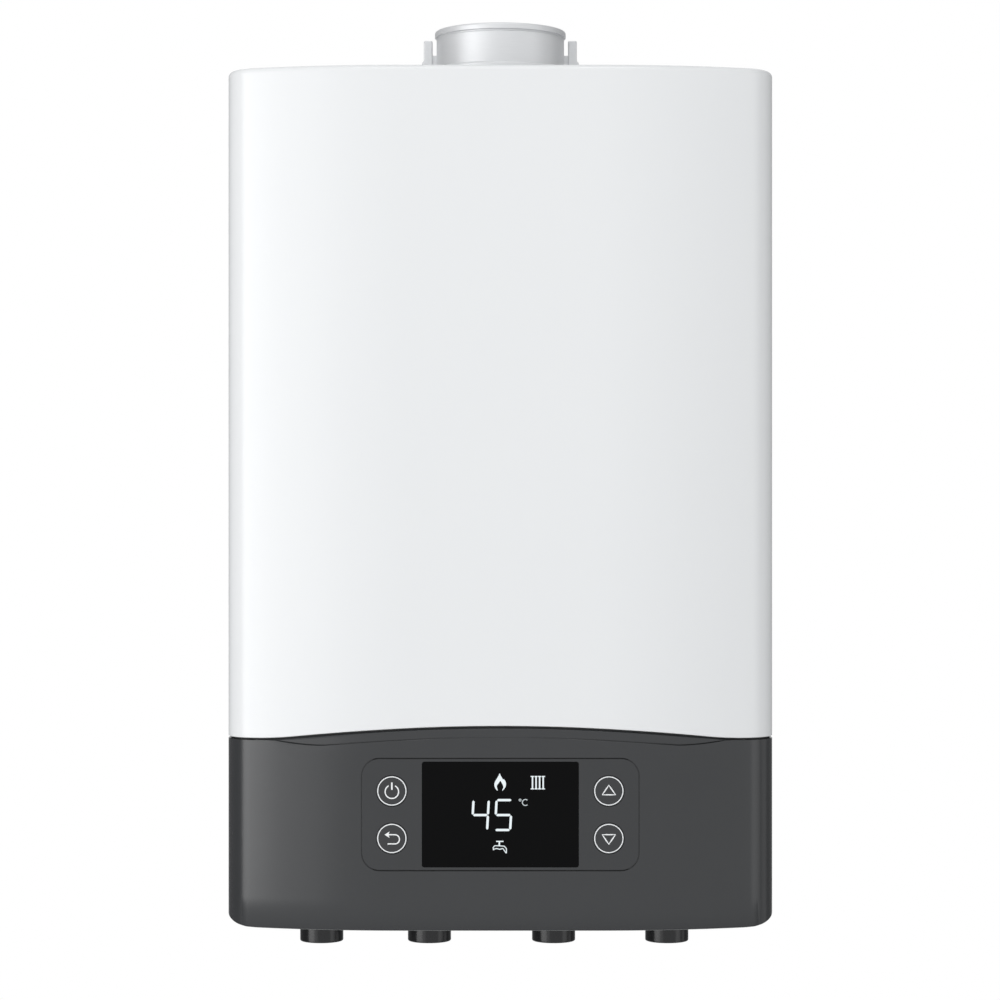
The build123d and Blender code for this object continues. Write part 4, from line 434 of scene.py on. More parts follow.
class Finish(Nodes):
    """One material: a Principled shader and the nodes that vary it."""

    def __init__(self, name, colour, roughness, **constants):
        self.material = bpy.data.materials.new(name)
        super().__init__(self.material)
        self.shader = self.tree.nodes["Principled BSDF"]
        self.put(self.shader, {"Base Color": (*colour, 1), "Roughness": roughness})
        self.put(self.shader, {key.replace("_", " "): value for key, value in constants.items()})
        self.place = self.node("TexCoord", output="Object")

    def noise(self, size, detail=2.0, stretch=None):
        """Soft blotches of about the given size, from 0 to 1."""
        where = self.place
        if stretch:
            where = self.node("Mapping", {"Vector": where, "Scale": stretch})
        return self.node("TexNoise", {"Vector": where, "Scale": 1 / size, "Detail": detail})

    def cells(self, size, output="Distance"):
        return self.node("TexVoronoi", {"Vector": self.place, "Scale": 1 / size}, output)

    def steepen(self, grade, low, high):
        """A number that is 0 up to the low value of another, and 1 from its high value on."""
        steep = self.node("ValToRGB", {0: grade})
        start, end = steep.socket.node.color_ramp.elements
        start.position, end.position = low, high
        return steep

    def blend(self, mask, first, second):
        """One colour where the mask is 0, another where it is 1."""
        return self.node("Mix", {0: mask, 6: (*first, 1), 7: (*second, 1)}, 2, data_type="RGBA")

    def colour(self, *mask_and_colours):
        self.put(self.shader, {"Base Color": self.blend(*mask_and_colours)})

    def roughness(self, grade):
        self.put(self.shader, {"Roughness": grade})

    def bump(self, height, depth):
        """Raises the surface by a number from 0 to 1 times a depth in metres."""
        values = {"Height": height, "Distance": depth, "Strength": 1.0}
        self.put(self.shader, {"Normal": self.node("Bump", values)})


def powder_coat():
    finish = Finish("white_powder_coat", (0.845, 0.852, 0.859), 0.30, Specular_IOR_Level=0.4)
    finish.roughness(0.22 + 0.04 * finish.noise(60 * MM, 3.0))
    finish.colour(finish.noise(180 * MM), (0.838, 0.846, 0.854), (0.852, 0.858, 0.864))
    finish.bump(finish.noise(1.6 * MM, 1.0), 0.006 * MM)
    return finish.material


def charcoal_moulding(name, colour, grain):
    finish = Finish(name, colour, 0.3, Specular_IOR_Level=0.42)
    pits = finish.noise(0.45 * MM, 2.0)
    finish.roughness(0.21 + 0.06 * pits)
    lighter = tuple(c * 1.12 for c in colour)
    finish.colour(finish.noise(40 * MM, 3.0), colour, lighter)
    finish.bump(pits, grain)
    return finish.material


def smoked_lens():
    finish = Finish("smoked_lens", (0.003, 0.003, 0.0032), 0.08, Specular_IOR_Level=0.05)
    finish.roughness(0.06 + 0.05 * finish.noise(25 * MM, 4.0))
    return finish.material


def lit_figure(name, strength):
    finish = Finish(name, (0.01, 0.01, 0.01), 0.5, Emission_Strength=strength, Specular_IOR_Level=0.1)
    glow = finish.blend(finish.noise(2 * MM), (0.82, 0.94, 1.0), (0.96, 1.0, 1.0))
    finish.put(finish.shader, {"Emission Color": glow})
    return finish.material


def white_print():
    finish = Finish("white_print", (0.93, 0.94, 0.95), 0.5)
    finish.colour(finish.noise(1.5 * MM), (0.90, 0.91, 0.92), (0.96, 0.97, 0.98))
    return finish.material


def collar_alloy():
    finish = Finish("collar_alloy", (0.68, 0.685, 0.695), 0.45, Metallic=0.28)
    brushed = finish.noise(3 * MM, 3.0, (0.3, 0.3, 6.0))
    finish.roughness(0.42 + 0.08 * brushed)
    finish.colour(brushed, (0.69, 0.695, 0.705), (0.74, 0.745, 0.755))
    finish.bump(finish.noise(0.8 * MM, 2.0), 0.003 * MM)
    return finish.material


def zinc_sheet():
    finish = Finish("zinc_sheet", (0.55, 0.56, 0.58), 0.42, Metallic=0.85)
    spangle = finish.cells(14 * MM, "Color")
    level = finish.node("SeparateColor", {0: spangle})
    finish.colour(level, (0.46, 0.48, 0.50), (0.62, 0.63, 0.65))
    finish.roughness(0.34 + 0.20 * level)
    finish.bump(finish.noise(1.2 * MM), 0.004 * MM)
    return finish.material


def brushed_steel():
    finish = Finish("brushed_steel", (0.62, 0.615, 0.60), 0.3, Metallic=1.0)
    lines = finish.noise(1.5 * MM, 4.0, (0.05, 1.0, 1.0))
    finish.roughness(0.22 + 0.22 * lines)
    finish.colour(lines, (0.55, 0.545, 0.53), (0.68, 0.675, 0.665))
    finish.bump(lines, 0.004 * MM)
    return finish.material


def cast_alloy():
    finish = Finish("cast_alloy", (0.56, 0.57, 0.575), 0.5, Metallic=0.8)
    sand = finish.noise(0.9 * MM, 4.0)
    finish.roughness(0.42 + 0.20 * sand)
    finish.colour(finish.noise(22 * MM, 4.0), (0.48, 0.485, 0.49), (0.62, 0.625, 0.63))
    finish.bump(sand, 0.05 * MM)
    return finish.material


def plain_metal(name, dark, light, roughness, blotch):
    finish = Finish(name, light, roughness, Metallic=1.0)
    stain = finish.noise(blotch, 5.0)
    finish.colour(finish.steepen(stain, 0.35, 0.7), dark, light)
    finish.roughness(roughness - 0.06 + 0.16 * stain)
    finish.bump(finish.noise(0.7 * MM, 2.0), 0.004 * MM)
    return finish.material


def plain_moulding(name, dark, light, roughness):
    finish = Finish(name, light, roughness)
    finish.colour(finish.noise(18 * MM, 3.0), dark, light)
    finish.roughness(roughness - 0.04 + 0.10 * finish.noise(5 * MM, 3.0))
    finish.bump(finish.noise(0.6 * MM, 2.0), 0.010 * MM)
    return finish.material


def sleeve_black():
    finish = Finish("sleeve_black", (0.010, 0.010, 0.011), 0.2, Specular_IOR_Level=0.4)
    drawn = finish.noise(9 * MM, 2.0, (1.0, 1.0, 5.0))
    finish.colour(drawn, (0.008, 0.008, 0.009), (0.012, 0.012, 0.013))
    finish.roughness(0.17 + 0.03 * drawn)
    finish.bump(drawn, 0.002 * MM)
    return finish.material


def circuit_board():
    finish = Finish("circuit_board", (0.02, 0.16, 0.07), 0.35)
    tracks = finish.cells(5 * MM) < 0.12
    finish.colour(tracks, (0.018, 0.15, 0.065), (0.05, 0.28, 0.13))
    finish.bump(tracks, 0.03 * MM)
    return finish.material


finishes = {
    "white_steel": powder_coat(),
    "dark_plastic": charcoal_moulding("charcoal_grained", (0.033, 0.034, 0.036), 0.014 * MM),
    "panel_plastic": charcoal_moulding("charcoal_fine", (0.031, 0.032, 0.034), 0.005 * MM),
    "key_plastic": charcoal_moulding("charcoal_key", (0.030, 0.031, 0.033), 0.005 * MM),
    "display_lens": smoked_lens(),
    "flue_grey": collar_alloy(),
    "galvanised": zinc_sheet(),
    "stainless": brushed_steel(),
    "cast_aluminium": cast_alloy(),
    "motor_black": plain_moulding("motor_black", (0.018, 0.018, 0.020), (0.03, 0.03, 0.032), 0.42),
    "wheel_plastic": plain_moulding("wheel_nylon", (0.05, 0.052, 0.055), (0.08, 0.082, 0.085), 0.5),
    "brass": plain_metal("brass", (0.55, 0.37, 0.14), (0.78, 0.58, 0.27), 0.30, 9 * MM),
    "copper": plain_metal("copper", (0.48, 0.20, 0.11), (0.86, 0.46, 0.31), 0.26, 14 * MM),
    "gas_steel": plain_metal("plated_steel", (0.50, 0.47, 0.38), (0.68, 0.66, 0.58), 0.34, 12 * MM),
    "water_block": plain_moulding("glass_filled_nylon", (0.06, 0.06, 0.065), (0.10, 0.10, 0.105), 0.5),
    "vessel_red": plain_moulding("vessel_enamel", (0.42, 0.025, 0.02), (0.55, 0.04, 0.03), 0.32),
    "duct_white": plain_moulding("white_duct", (0.70, 0.70, 0.67), (0.80, 0.80, 0.78), 0.42),
    "stub_plastic": sleeve_black(),
    "seal_rubber": plain_moulding("seal_rubber", (0.010, 0.010, 0.010), (0.02, 0.02, 0.02), 0.75),
    "red_knob": plain_moulding("red_knob", (0.50, 0.02, 0.018), (0.62, 0.035, 0.03), 0.36),
    "blue_knob": plain_moulding("blue_knob", (0.02, 0.09, 0.40), (0.03, 0.14, 0.52), 0.36),
    "box_plastic": plain_moulding("box_black", (0.020, 0.020, 0.021), (0.032, 0.032, 0.034), 0.48),
    "circuit_green": circuit_board(),
}
LIT_FIGURE = lit_figure("lit_figure", 0.95)
DIM_FIGURE = lit_figure("dim_figure", 0.66)
WHITE_PRINT = white_print()
WINDING_TAPE = plain_moulding("winding_tape", (0.60, 0.40, 0.06), (0.72, 0.50, 0.10), 0.4)

slots = {subpart["node"]: subpart["material_slot"] for subpart in frame["record"]["subparts"]}
for node, slot in slots.items():
    frame["nodes"][node].material_slots[0].material = finishes[slot]


def fit(piece, body, slot, *replaced, material=None, name=None):
    """Gives a finished piece its material, its body and the nodes it stands for."""
    if name:
        call(piece, name)
    piece.data.materials.clear()
    piece.data.materials.append(material or finishes[slot])
    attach(piece, body)
    if replaced:
        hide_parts(*replaced)


# ---- casing ----

def front_y(x):
    """Depth of the bowed front at a distance x from the centre line."""
    bow = max(abs(x) - FLAT_HALF, 0.0)
    return FRONT_Y + SHOULDER_R - math.sqrt(SHOULDER_R**2 - bow**2)


def follow_bow(x, y, z):
    """Moves a point of a flat plate back to the bowed front."""
    return x, y + front_y(x) - FRONT_Y, z


def joint_z(x):
    """Height of the arched joint line at x."""
    if abs(x) <= CREST_HALF:
        return CREST_Z - CREST_R + math.sqrt(CREST_R**2 - x**2)
    if abs(x) <= TAIL_X:
        return TAIL_Z + TAIL_R - math.sqrt(TAIL_R**2 - (TAIL_X - abs(x)) ** 2)
    return TAIL_Z


def carry_round_front(rear_y):
    """Carries the selected section from the left rear edge round the front to the right one."""
    centre_y = FRONT_Y + SHOULDER_R
    run(y=CORNER_Y - rear_y, count=2)
    turn(90 - SHOULDER_TURN, (-CORNER_X, CORNER_Y, 0), Z_AXIS, CORNER_STEPS)
    turn(SHOULDER_TURN, (-FLAT_HALF, centre_y, 0), Z_AXIS, SHOULDER_STEPS)
    run(x=2 * FLAT_HALF, count=FLAT_STEPS)
    turn(SHOULDER_TURN, (FLAT_HALF, centre_y, 0), Z_AXIS, SHOULDER_STEPS)
    turn(90 - SHOULDER_TURN, (CORNER_X, CORNER_Y, 0), Z_AXIS, CORNER_STEPS)
    run(y=rear_y - CORNER_Y, count=2)


def make_front_casing():
    """The white pressed shell: hemmed below, rolled over at the top."""
    left = -HALF_W
    shell = draw_from("casing_shell", left + HEM_R, CASING_REAR_Y, TAIL_Z)
    turn(90, (left + HEM_R, CASING_REAR_Y, TAIL_Z + HEM_R), Y_AXIS, 3)
    run(z=TOP_Z - TOP_ROLL_R - TAIL_Z - HEM_R, count=4)
    turn(90, (left + TOP_ROLL_R, CASING_REAR_Y, TOP_Z - TOP_ROLL_R), Y_AXIS, 8)
    run(x=TOP_RETURN, count=2)
    select_everything()
    carry_round_front(CASING_REAR_Y)
    leave_drawing()

    def follow_joint(x, y, z):
        near_hem = z < TAIL_Z + 2 * HEM_R
        return (x, y, z + joint_z(x) - TAIL_Z) if near_hem else (x, y, z)

    reshape(shell, follow_joint)
    modify(shell, "SOLIDIFY", thickness=STEEL, offset=-1, use_even_offset=True)
    for side, _ in SIDES:
        inner_x, outer_x = side * (HALF_W - STEEL - FLANGE_IN), side * (HALF_W - STEEL / 2)
        low = (inner_x, CASING_REAR_Y - STEEL, TAIL_Z + FLANGE_FROM_HEM)
        high = (outer_x, CASING_REAR_Y - FLANGE_INSET, TOP_Z - FLANGE_FROM_TOP)
        join(shell, block("flange", low, high))
    smooth(shell)
    even_shading(shell)
    fit(shell, "front_casing", "white_steel", "front_casing")


def make_joint_trim():
    """The dark strip inside the casing's lower hem, which closes the joint from behind."""
    points = [(x * MM - HALF_W, CASING_REAR_Y, TAIL_Z + z * MM) for x, z in TRIM_OUTLINE]
    trim = draw_through("joint_trim", points + points[:1])
    weld()
    carry_round_front(CASING_REAR_Y)
    select_open_edges()
    bpy.ops.mesh.edge_face_add()
    leave_drawing()
    reshape(trim, lambda x, y, z: (x, y, z + joint_z(x) - TAIL_Z))
    smooth(trim)
    fit(trim, "front_casing", "seal_rubber")


# ---- control flap ----

def lower_corner_z(x):
    """Height of the rounded lower corner at x, seen from the front."""
    reach = min(max(abs(x) - (HALF_W - CORNER_RX), 0) / CORNER_RX, 1.0)
    return FLOOR_Z + CORNER_RZ * (1 - math.sqrt(1 - reach**2))


def crease_z(x):
    """Height of the crease under the grip; past its ends it runs just under the top edge."""
    if abs(x) <= GRIP_LOW_X:
        height = GRIP_MID_Z - (GRIP_MID_Z - GRIP_LOW_Z) * (abs(x) / GRIP_LOW_X) ** GRIP_FALL
    else:
        past_low = (abs(x) - GRIP_LOW_X) / (GRIP_END_X - GRIP_LOW_X)
        height = GRIP_LOW_Z + GRIP_END_RISE * past_low**2
    return min(height, joint_z(x) - JOINT_GAP - 0.4 * MM)


def crease_strength(x):
    """The crease is faint in the middle and deepest near its ends."""
    return CREASE_FAINT + sum(part * ease(abs(x), start, end) for part, start, end in CREASE_DEEPENS)


def shape_fascia(x, y, z):
    """Bends the straight rows of the fascia to the joint line, the grip and the lower corners."""
    top = joint_z(x) - JOINT_GAP
    crease = crease_z(x)
    if z < FLOOR_Z + FLOOR_EDGE + 0.1 * MM:
        return x, y, max(z, lower_corner_z(x))
    if z < ROW_BELOW:
        return x, y, z
    squeeze = min((top - crease) / GRIP_ROOM, 1.0)
    row = z - ROW_CREASE
    low_row, high_row = ROW_CREASE + GRIP_ROWS_FROM, ROW_TOP - LIP_R
    if z >= high_row:
        z = top - (ROW_TOP - z) * squeeze
    elif z >= low_row:
        z = between(z, low_row, high_row, crease + GRIP_ROWS_FROM * squeeze, top - LIP_R * squeeze)
    elif row >= 0:
        z = crease + row * squeeze
    elif row >= -LIP_HEIGHT:
        z = crease + row
    else:
        z = between(z, ROW_BELOW, ROW_CREASE - LIP_HEIGHT, ROW_BELOW, crease - LIP_HEIGHT)
    strength = crease_strength(x)
    if row <= -LIP_HEIGHT:
        depth = 0.0
    elif row <= 0.01 * MM:
        depth = LIP_DEPTH * strength * ((row + LIP_HEIGHT) / LIP_HEIGHT) ** 2
    elif row <= GROOVE_HEIGHT + 0.01 * MM:
        depth = GROOVE_DEPTH * strength
    else:
        depth = GRIP_TILT * (z - crease)
    return x, y + depth * (1 - ease(abs(x), *GRIP_FADES)), z


def make_fascia():
    """The charcoal front of the flap, with its grip, its floor and the pocket for the panel."""
    shell = draw_from("fascia_shell", LIP_LAND - HALF_W, FLAP_REAR_Y, ROW_TOP)
    run(x=LIP_BEVEL - LIP_LAND)
    for part_x, part_z in LIP_STEPS:
        run(x=-part_x * LIP_BEVEL, z=-part_z * LIP_R)
    height = ROW_CREASE + GRIP_ROWS_FROM
    run(z=height - ROW_TOP + LIP_R, count=4)
    for row in CREASE_ROWS:
        run(z=ROW_CREASE + row - height)
        height = ROW_CREASE + row
    run(z=ROW_BELOW - height)
    run(z=FLOOR_Z + FLOOR_EDGE - ROW_BELOW, count=6)
    reach, drop = 0.0, FLOOR_EDGE
    for degrees in range(10, 91, 10):
        next_reach = CORNER_RX * (1 - math.cos(math.radians(degrees)))
        inside = max(FLOOR_EDGE - next_reach, 0.0)
        next_drop = FLOOR_EDGE - math.sqrt(FLOOR_EDGE**2 - inside**2)
        run(x=next_reach - reach, z=next_drop - drop)
        reach, drop = next_reach, next_drop
    run(x=FLOOR_RING)
    select_everything()
    carry_round_front(FLAP_REAR_Y)
    close_fascia_floor(shell)
    reshape(shell, shape_fascia)
    modify(shell, "SOLIDIFY", thickness=PLASTIC, offset=-1, use_even_offset=True)

    front = FRONT_Y - 2 * MM
    pocket = panel_shape("pocket", 0, front, PANEL_THICK + 2.1 * MM)
    window = panel_shape("window", LEDGE, front, 20 * MM)
    cut_away(shell, pocket, window)
    for side, _ in SIDES:
        cut_away(shell, block_about("notch", (side * STRAP_X, FLAP_REAR_Y, FLOOR_Z), NOTCH_HALF))
    smooth(shell, 40)
    for side, _ in SIDES:
        join(shell, make_flap_ear(side), make_flap_tongue(side))
    fit(shell, "flap", "dark_plastic", "fascia")


def close_fascia_floor(shell):
    """Fills the opening that the carried section leaves inside the floor."""
    select_open_edges()
    bpy.ops.object.editmode_toggle()
    inner_x = HALF_W - CORNER_RX - FLOOR_RING + 0.01 * MM
    vertices = shell.data.vertices
    for vertex in vertices:
        on_floor = vertex.co.z < FLOOR_Z + 0.01 * MM and abs(vertex.co.x) < inner_x
        vertex.select = vertex.select and on_floor
    for edge in shell.data.edges:
        edge.select = all(vertices[i].select for i in edge.vertices)
    bpy.ops.object.editmode_toggle()
    bpy.ops.mesh.edge_face_add()
    leave_drawing()


def make_flap_ear(side):
    """An ear of the flap: a bar with a round end, bored for the hinge pin."""
    x = side * EAR_X - EAR_THICK / 2
    ear = draw_from("flap_ear", x, HINGE_Y - EAR_REACH, HINGE_Z - EAR_R)
    run(y=EAR_REACH)
    turn(180, (x, HINGE_Y, HINGE_Z), X_AXIS, 14)
    run(y=-EAR_REACH)
    raise_outline(x=EAR_THICK)
    cut_away(ear, rod("bore", (x - MM, HINGE_Y, HINGE_Z), HINGE_BORE_R, EAR_THICK + 2 * MM, "X", 32))
    soften(ear, 0.3 * MM)
    return ear


def make_flap_tongue(side):
    """A tongue that springs into its catch when the flap is shut."""
    blade_in, blade_out = TONGUE_X - TONGUE_HALF, TONGUE_X + TONGUE_HALF
    wall_x = HALF_W - PLASTIC + 0.8 * MM
    outline = (
        (wall_x, 0), (blade_in, 0), (blade_in, 11), (blade_out, 11), (blade_out, 4), (wall_x, 4),
    )
    low_z = TONGUE_Z - TONGUE_H / 2
    tongue = draw_through(
        "flap_tongue", [(side * x, TONGUE_FRONT_Y + rise * MM, low_z) for x, rise in outline]
    )
    raise_outline(z=TONGUE_H)
    soften(tongue, 0.25 * MM)
    return tongue


def make_skirt_lips():
    """Rubber angles inside the fixed skirts, which close the seam beside the flap."""
    low_z, high_z = FLOOR_Z + 14 * MM, ROW_TOP - 1.5 * MM
    for side, side_name in SIDES:
        points = [(side * x * MM, y * MM, low_z) for x, y in SKIRT_LIP_OUTLINE]
        lip = draw_through("skirt_lip_" + side_name, points)
        raise_outline(z=high_z - low_z)
        soften(lip, 0.3 * MM)
        fit(lip, "boiler", "seal_rubber")


# ---- control panel ----

def key_centre(key):
    low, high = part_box("key_" + key)
    return (low.x + high.x) / 2, (low.z + high.z) / 2


def cut_columns(plate):
    """Divides a flat plate where the front bows back, so that it can follow the bow."""
    hold(plate)
    bpy.ops.object.editmode_toggle()
    for side, _ in SIDES:
        for column in range(7):
            select_everything()
            bpy.ops.mesh.bisect(plane_co=(side * (FLAT_HALF + column * 4 * MM), 0, 0), plane_no=X_AXIS)
    bpy.ops.object.editmode_toggle()


def panel_shape(name, inset, front, depth):
    """A plate like the panel, smaller by an inset all round."""
    width, height = PANEL_W - 2 * inset, PANEL_H - 2 * inset
    return rounded_plate(name, width, height, PANEL_R - inset, PANEL_Z, front, depth)


def make_faceplate():
    plate = panel_shape("panel_plate", PANEL_GROOVE, FRONT_Y, PANEL_THICK)
    low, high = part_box("display_window")
    width, height = high.x - low.x + WINDOW_GAP, high.z - low.z + WINDOW_GAP
    cutters = [rounded_plate("opening", width, height, WINDOW_R, PANEL_Z, FRONT_Y - MM, 6 * MM)]
    for key in KEYS:
        key_x, key_z = key_centre(key)
        cutters.append(rod("hole", (key_x, FRONT_Y - MM, key_z), KEY_R + KEY_GAP, 6 * MM, "Y", 64))
    cut_away(plate, *cutters)
    cut_columns(plate)
    soften(plate, 0.25 * MM)
    reshape(plate, follow_bow)
    fit(plate, "flap", "panel_plastic", "faceplate")

    width, height = PANEL_W - 0.1 * MM, PANEL_H - 0.1 * MM
    gasket = rounded_plate(
        "panel_gasket", width, height, PANEL_R, PANEL_Z, FRONT_Y + GASKET_Y, 0.8 * MM
    )
    cut_away(gasket, panel_shape("opening", 2 * MM, FRONT_Y, 8 * MM))
    cut_columns(gasket)
    reshape(gasket, follow_bow)
    fit(gasket, "flap", "seal_rubber")


def make_key_cap(key):
    """A round cap with a flange behind the plate."""
    key_x, key_z = key_centre(key)
    cap = draw_from(key + "_key_cap", key_x + KEY_DIMPLE_R, KEY_FACE_Y, key_z)
    run(x=KEY_R - KEY_EDGE - KEY_DIMPLE_R, count=4)
    turn(90, (key_x + KEY_R - KEY_EDGE, KEY_FACE_Y + KEY_EDGE, key_z), Z_AXIS, 3)
    run(y=KEY_FLANGE_Y - KEY_FACE_Y - KEY_EDGE)
    run(x=KEY_FLANGE)
    run(y=KEY_BACK_Y - KEY_FLANGE_Y)
    run(x=KEY_DIMPLE_R - KEY_R - KEY_FLANGE)
    select_everything()
    turn(360, (key_x, 0, key_z), Y_AXIS, 64)
    weld()
    select_open_edges()
    bpy.ops.mesh.fill()
    leave_drawing()
    front_of_flange = KEY_FLANGE_Y - 0.1 * MM
    reshape(cap, lambda x, y, z: follow_bow(x, y, z) if y < front_of_flange else (x, y, z))
    smooth(cap)
    fit(cap, key + "_key", "key_plastic", "key_" + key)


def ink(piece, width):
    """Turns a drawn wire into a flat printed line of a width."""
    leave_drawing()
    hold(piece)
    bpy.ops.object.convert(target="CURVE")
    piece.data.bevel_depth = width / 2
    piece.data.bevel_resolution = 2
    piece.data.use_fill_caps = True
    bpy.ops.object.convert(target="MESH")
    squeeze = PRINT_THICK / width
    reshape(piece, lambda x, y, z: (x, PRINT_Y + (y - PRINT_Y) * squeeze, z))
    smooth(piece, 60)
    return piece


def around(x, z, *offsets):
    """Points of the front plane at offsets in millimetres from a centre."""
    return [(x + right * MM, z + up * MM) for right, up in offsets]


def draw_ring(name, centre_x, centre_z, radius, width):
    ring = draw_from(name, centre_x + radius, PRINT_Y, centre_z)
    turn(360, (centre_x, PRINT_Y, centre_z), Y_AXIS, 64)
    return ink(ring, width)


def draw_line(name, points, width=SIGN_LINE):
    """A printed line through points of the front plane."""
    return ink(draw_through(name, [(x, PRINT_Y, z) for x, z in points], 3), width)


def solid_figure(name, points):
    """A thin flat figure with a given outline on the front plane."""
    figure = draw_through(name, [(x, PRINT_Y - 0.02 * MM, z) for x, z in points])
    raise_outline(y=PRINT_THICK)
    return figure


def power_sign(x, z):
    """An open ring with a bar through its gap."""
    radius, gap, low = 5.35 * MM, 29, 0.6 * MM
    start_x = x + radius * math.sin(math.radians(gap))
    start_z = z - low + radius * math.cos(math.radians(gap))
    arc = draw_from("power_arc", start_x, PRINT_Y, start_z)
    turn(360 - 2 * gap, (x, PRINT_Y, z - low), Y_AXIS, 40)
    ink(arc, SIGN_LINE)
    return [arc, draw_line("power_bar", around(x, z, (0, 6.7), (0, 0.9)), 1.2 * MM)]


def back_sign(x, z):
    """An arrow that turns back to the left."""
    high, low, bend_x = 3.0 * MM, -4.3 * MM, 2.4 * MM
    line = draw_from("back_line", x - 3 * MM, PRINT_Y, z + high)
    run(x=bend_x + 3 * MM, count=2)
    turn(180, (x + bend_x, PRINT_Y, z + (high + low) / 2), Y_AXIS, 16)
    run(x=-bend_x - 3.4 * MM, count=2)
    ink(line, SIGN_LINE)
    head = around(x, z, (-5.8, 3.0), (-1.9, 5.5), (-2.7, 3.0), (-1.9, 0.5))
    return [line, solid_figure("back_head", head)]


def arrow_sign(x, z, way):
    """An open triangle pointing up or down."""
    tip, right, left = (0, 4.6 * way), (5.3, -3.05 * way), (-5.3, -3.05 * way)
    return [draw_line("arrow", around(x, z, tip, right, left, tip))]


def make_keys():
    """Four caps, each with a printed ring and a sign."""
    signs = {
        "power": power_sign,
        "back": back_sign,
        "up": lambda x, z: arrow_sign(x, z, 1),
        "down": lambda x, z: arrow_sign(x, z, -1),
    }
    for key in KEYS:
        key_x, key_z = key_centre(key)
        make_key_cap(key)
        ring = draw_ring(key + "_key_print", key_x, key_z, RING_R, RING_LINE)
        join(ring, *signs[key](key_x, key_z))
        reshape(ring, follow_bow)
        fit(ring, key + "_key", "key_plastic", material=WHITE_PRINT)


# ---- display ----

def segment(centre_x, centre_z, along_x, along_z, half_length):
    """One bar of a digit, pointed at both ends and leaning with the digit."""
    half = STROKE / 2
    reach = half_length - SEGMENT_GAP
    outline = ((-reach, 0), (half - reach, half), (reach - half, half),
               (reach, 0), (reach - half, -half), (half - reach, -half))
    points = [
        (centre_x + a * along_x + b * along_z, centre_z + a * along_z + b * along_x)
        for a, b in outline
    ]
    return solid_figure("segment", [(x + DIGIT_SLANT * (z - DIGIT_Z), z) for x, z in points])


def digit(centre_x, bars):
    """A digit from the bars that are lit."""
    half_w, half_h = DIGIT_HALF_W, DIGIT_HALF_H
    places = {
        "top": (0, half_h, 1, 0, half_w),
        "middle": (0, 0, 1, 0, half_w),
        "bottom": (0, -half_h, 1, 0, half_w),
        "upper_left": (-half_w, half_h / 2, 0, 1, half_h / 2),
        "upper_right": (half_w, half_h / 2, 0, 1, half_h / 2),
        "lower_right": (half_w, -half_h / 2, 0, 1, half_h / 2),
    }
    made = []
    for bar in bars:
        x, z, along_x, along_z, half_length = places[bar]
        made.append(segment(centre_x + x, DIGIT_Z + z, along_x, along_z, half_length))
    return made


def degree_sign(x, z):
    """A small ring and the letter beside it."""
    ring = draw_ring("degree", x - 4.2 * MM, z + 1.9 * MM, 0.8 * MM, 0.55 * MM)
    letter_r, mouth = 2.4 * MM, math.radians(48)
    start_x, start_z = x + letter_r * math.cos(mouth), z + letter_r * math.sin(mouth)
    letter = draw_from("letter", start_x, PRINT_Y, start_z)
    turn(2 * math.degrees(mouth) - 360, (x, PRINT_Y, z), Y_AXIS, 24)
    return [ring, ink(letter, 0.7 * MM)]


def smooth_path(points, parts):
    """Points of a closed smooth line through the given ones."""
    count = len(points)
    path = []
    for i in range(count):
        before, start, end, after = (points[(i + k) % count] for k in (-1, 0, 1, 2))
        for step in range(parts):
            t = step / parts
            path.append(tuple(
                0.5 * (2 * b + (c - a) * t + (2 * a - 5 * b + 4 * c - d) * t**2
                       + (3 * b - a - 3 * c + d) * t**3)
                for a, b, c, d in zip(before, start, end, after)
            ))
    return path


def flame_sign(x, z):
    """A flame with a pointed hollow, open at its foot."""
    outline = around(
        x, z,
        (-0.5, 6.6), (0.9, 4.0), (2.3, 1.8), (2.9, 2.1), (4.2, 0.2), (4.6, -2.0), (4.0, -4.4),
        (2.2, -6.7), (1.5, -6.7), (2.4, -4.8), (2.3, -3.1), (1.3, -1.1), (0.1, 0.7), (-1.2, -1.0),
        (-2.6, -2.9), (-2.5, -4.9), (-2.0, -6.7), (-2.7, -6.7), (-4.2, -4.5), (-4.7, -2.0),
        (-4.0, 0.3), (-2.4, 3.0), (-1.1, 5.3),
    )
    return [solid_figure("flame", smooth_path(outline, 3))]


def radiator_sign(x, z):
    """Four columns, each with a short head and foot, longer at the ends of the row."""
    pitch, half_h, half_head, end_head = 2.83, 4.9, 1.2, 1.45
    made = []
    for column in range(4):
        middle = (column - 1.5) * pitch
        left = middle - (end_head if column == 0 else half_head)
        right = middle + (end_head if column == 3 else half_head)
        stem = around(x, z, (middle, half_h), (middle, -half_h))
        made.append(draw_line("column", stem, 1.15 * MM))
        for up in (-half_h, half_h):
            made.append(draw_line("head", around(x, z, (left, up), (right, up)), 0.85 * MM))
    return made


def tap_sign(x, z):
    """A tap from the side: handle, stem, body and belly."""
    body = around(
        x, z, (-5.0, -2.6), (-5.4, -0.4), (-4.0, 1.0), (-0.5, 0.9), (3.6, 0.6), (5.2, -1.4), (5.2, -5.0)
    )
    belly = around(x, z, (-5.0, -1.8), (-2.4, -1.2), (-0.2, -1.9), (2.4, -1.2), (4.9, -4.8))
    return [
        draw_line("tap_handle", around(x, z, (-2.9, 4.4), (2.9, 4.4)), 0.9 * MM),
        draw_line("tap_stem", around(x, z, (-0.3, 4.4), (-0.5, 1.2)), 1.2 * MM),
        draw_line("tap_body", body, TAP_LINE),
        draw_line("tap_belly", belly, TAP_LINE),
    ]


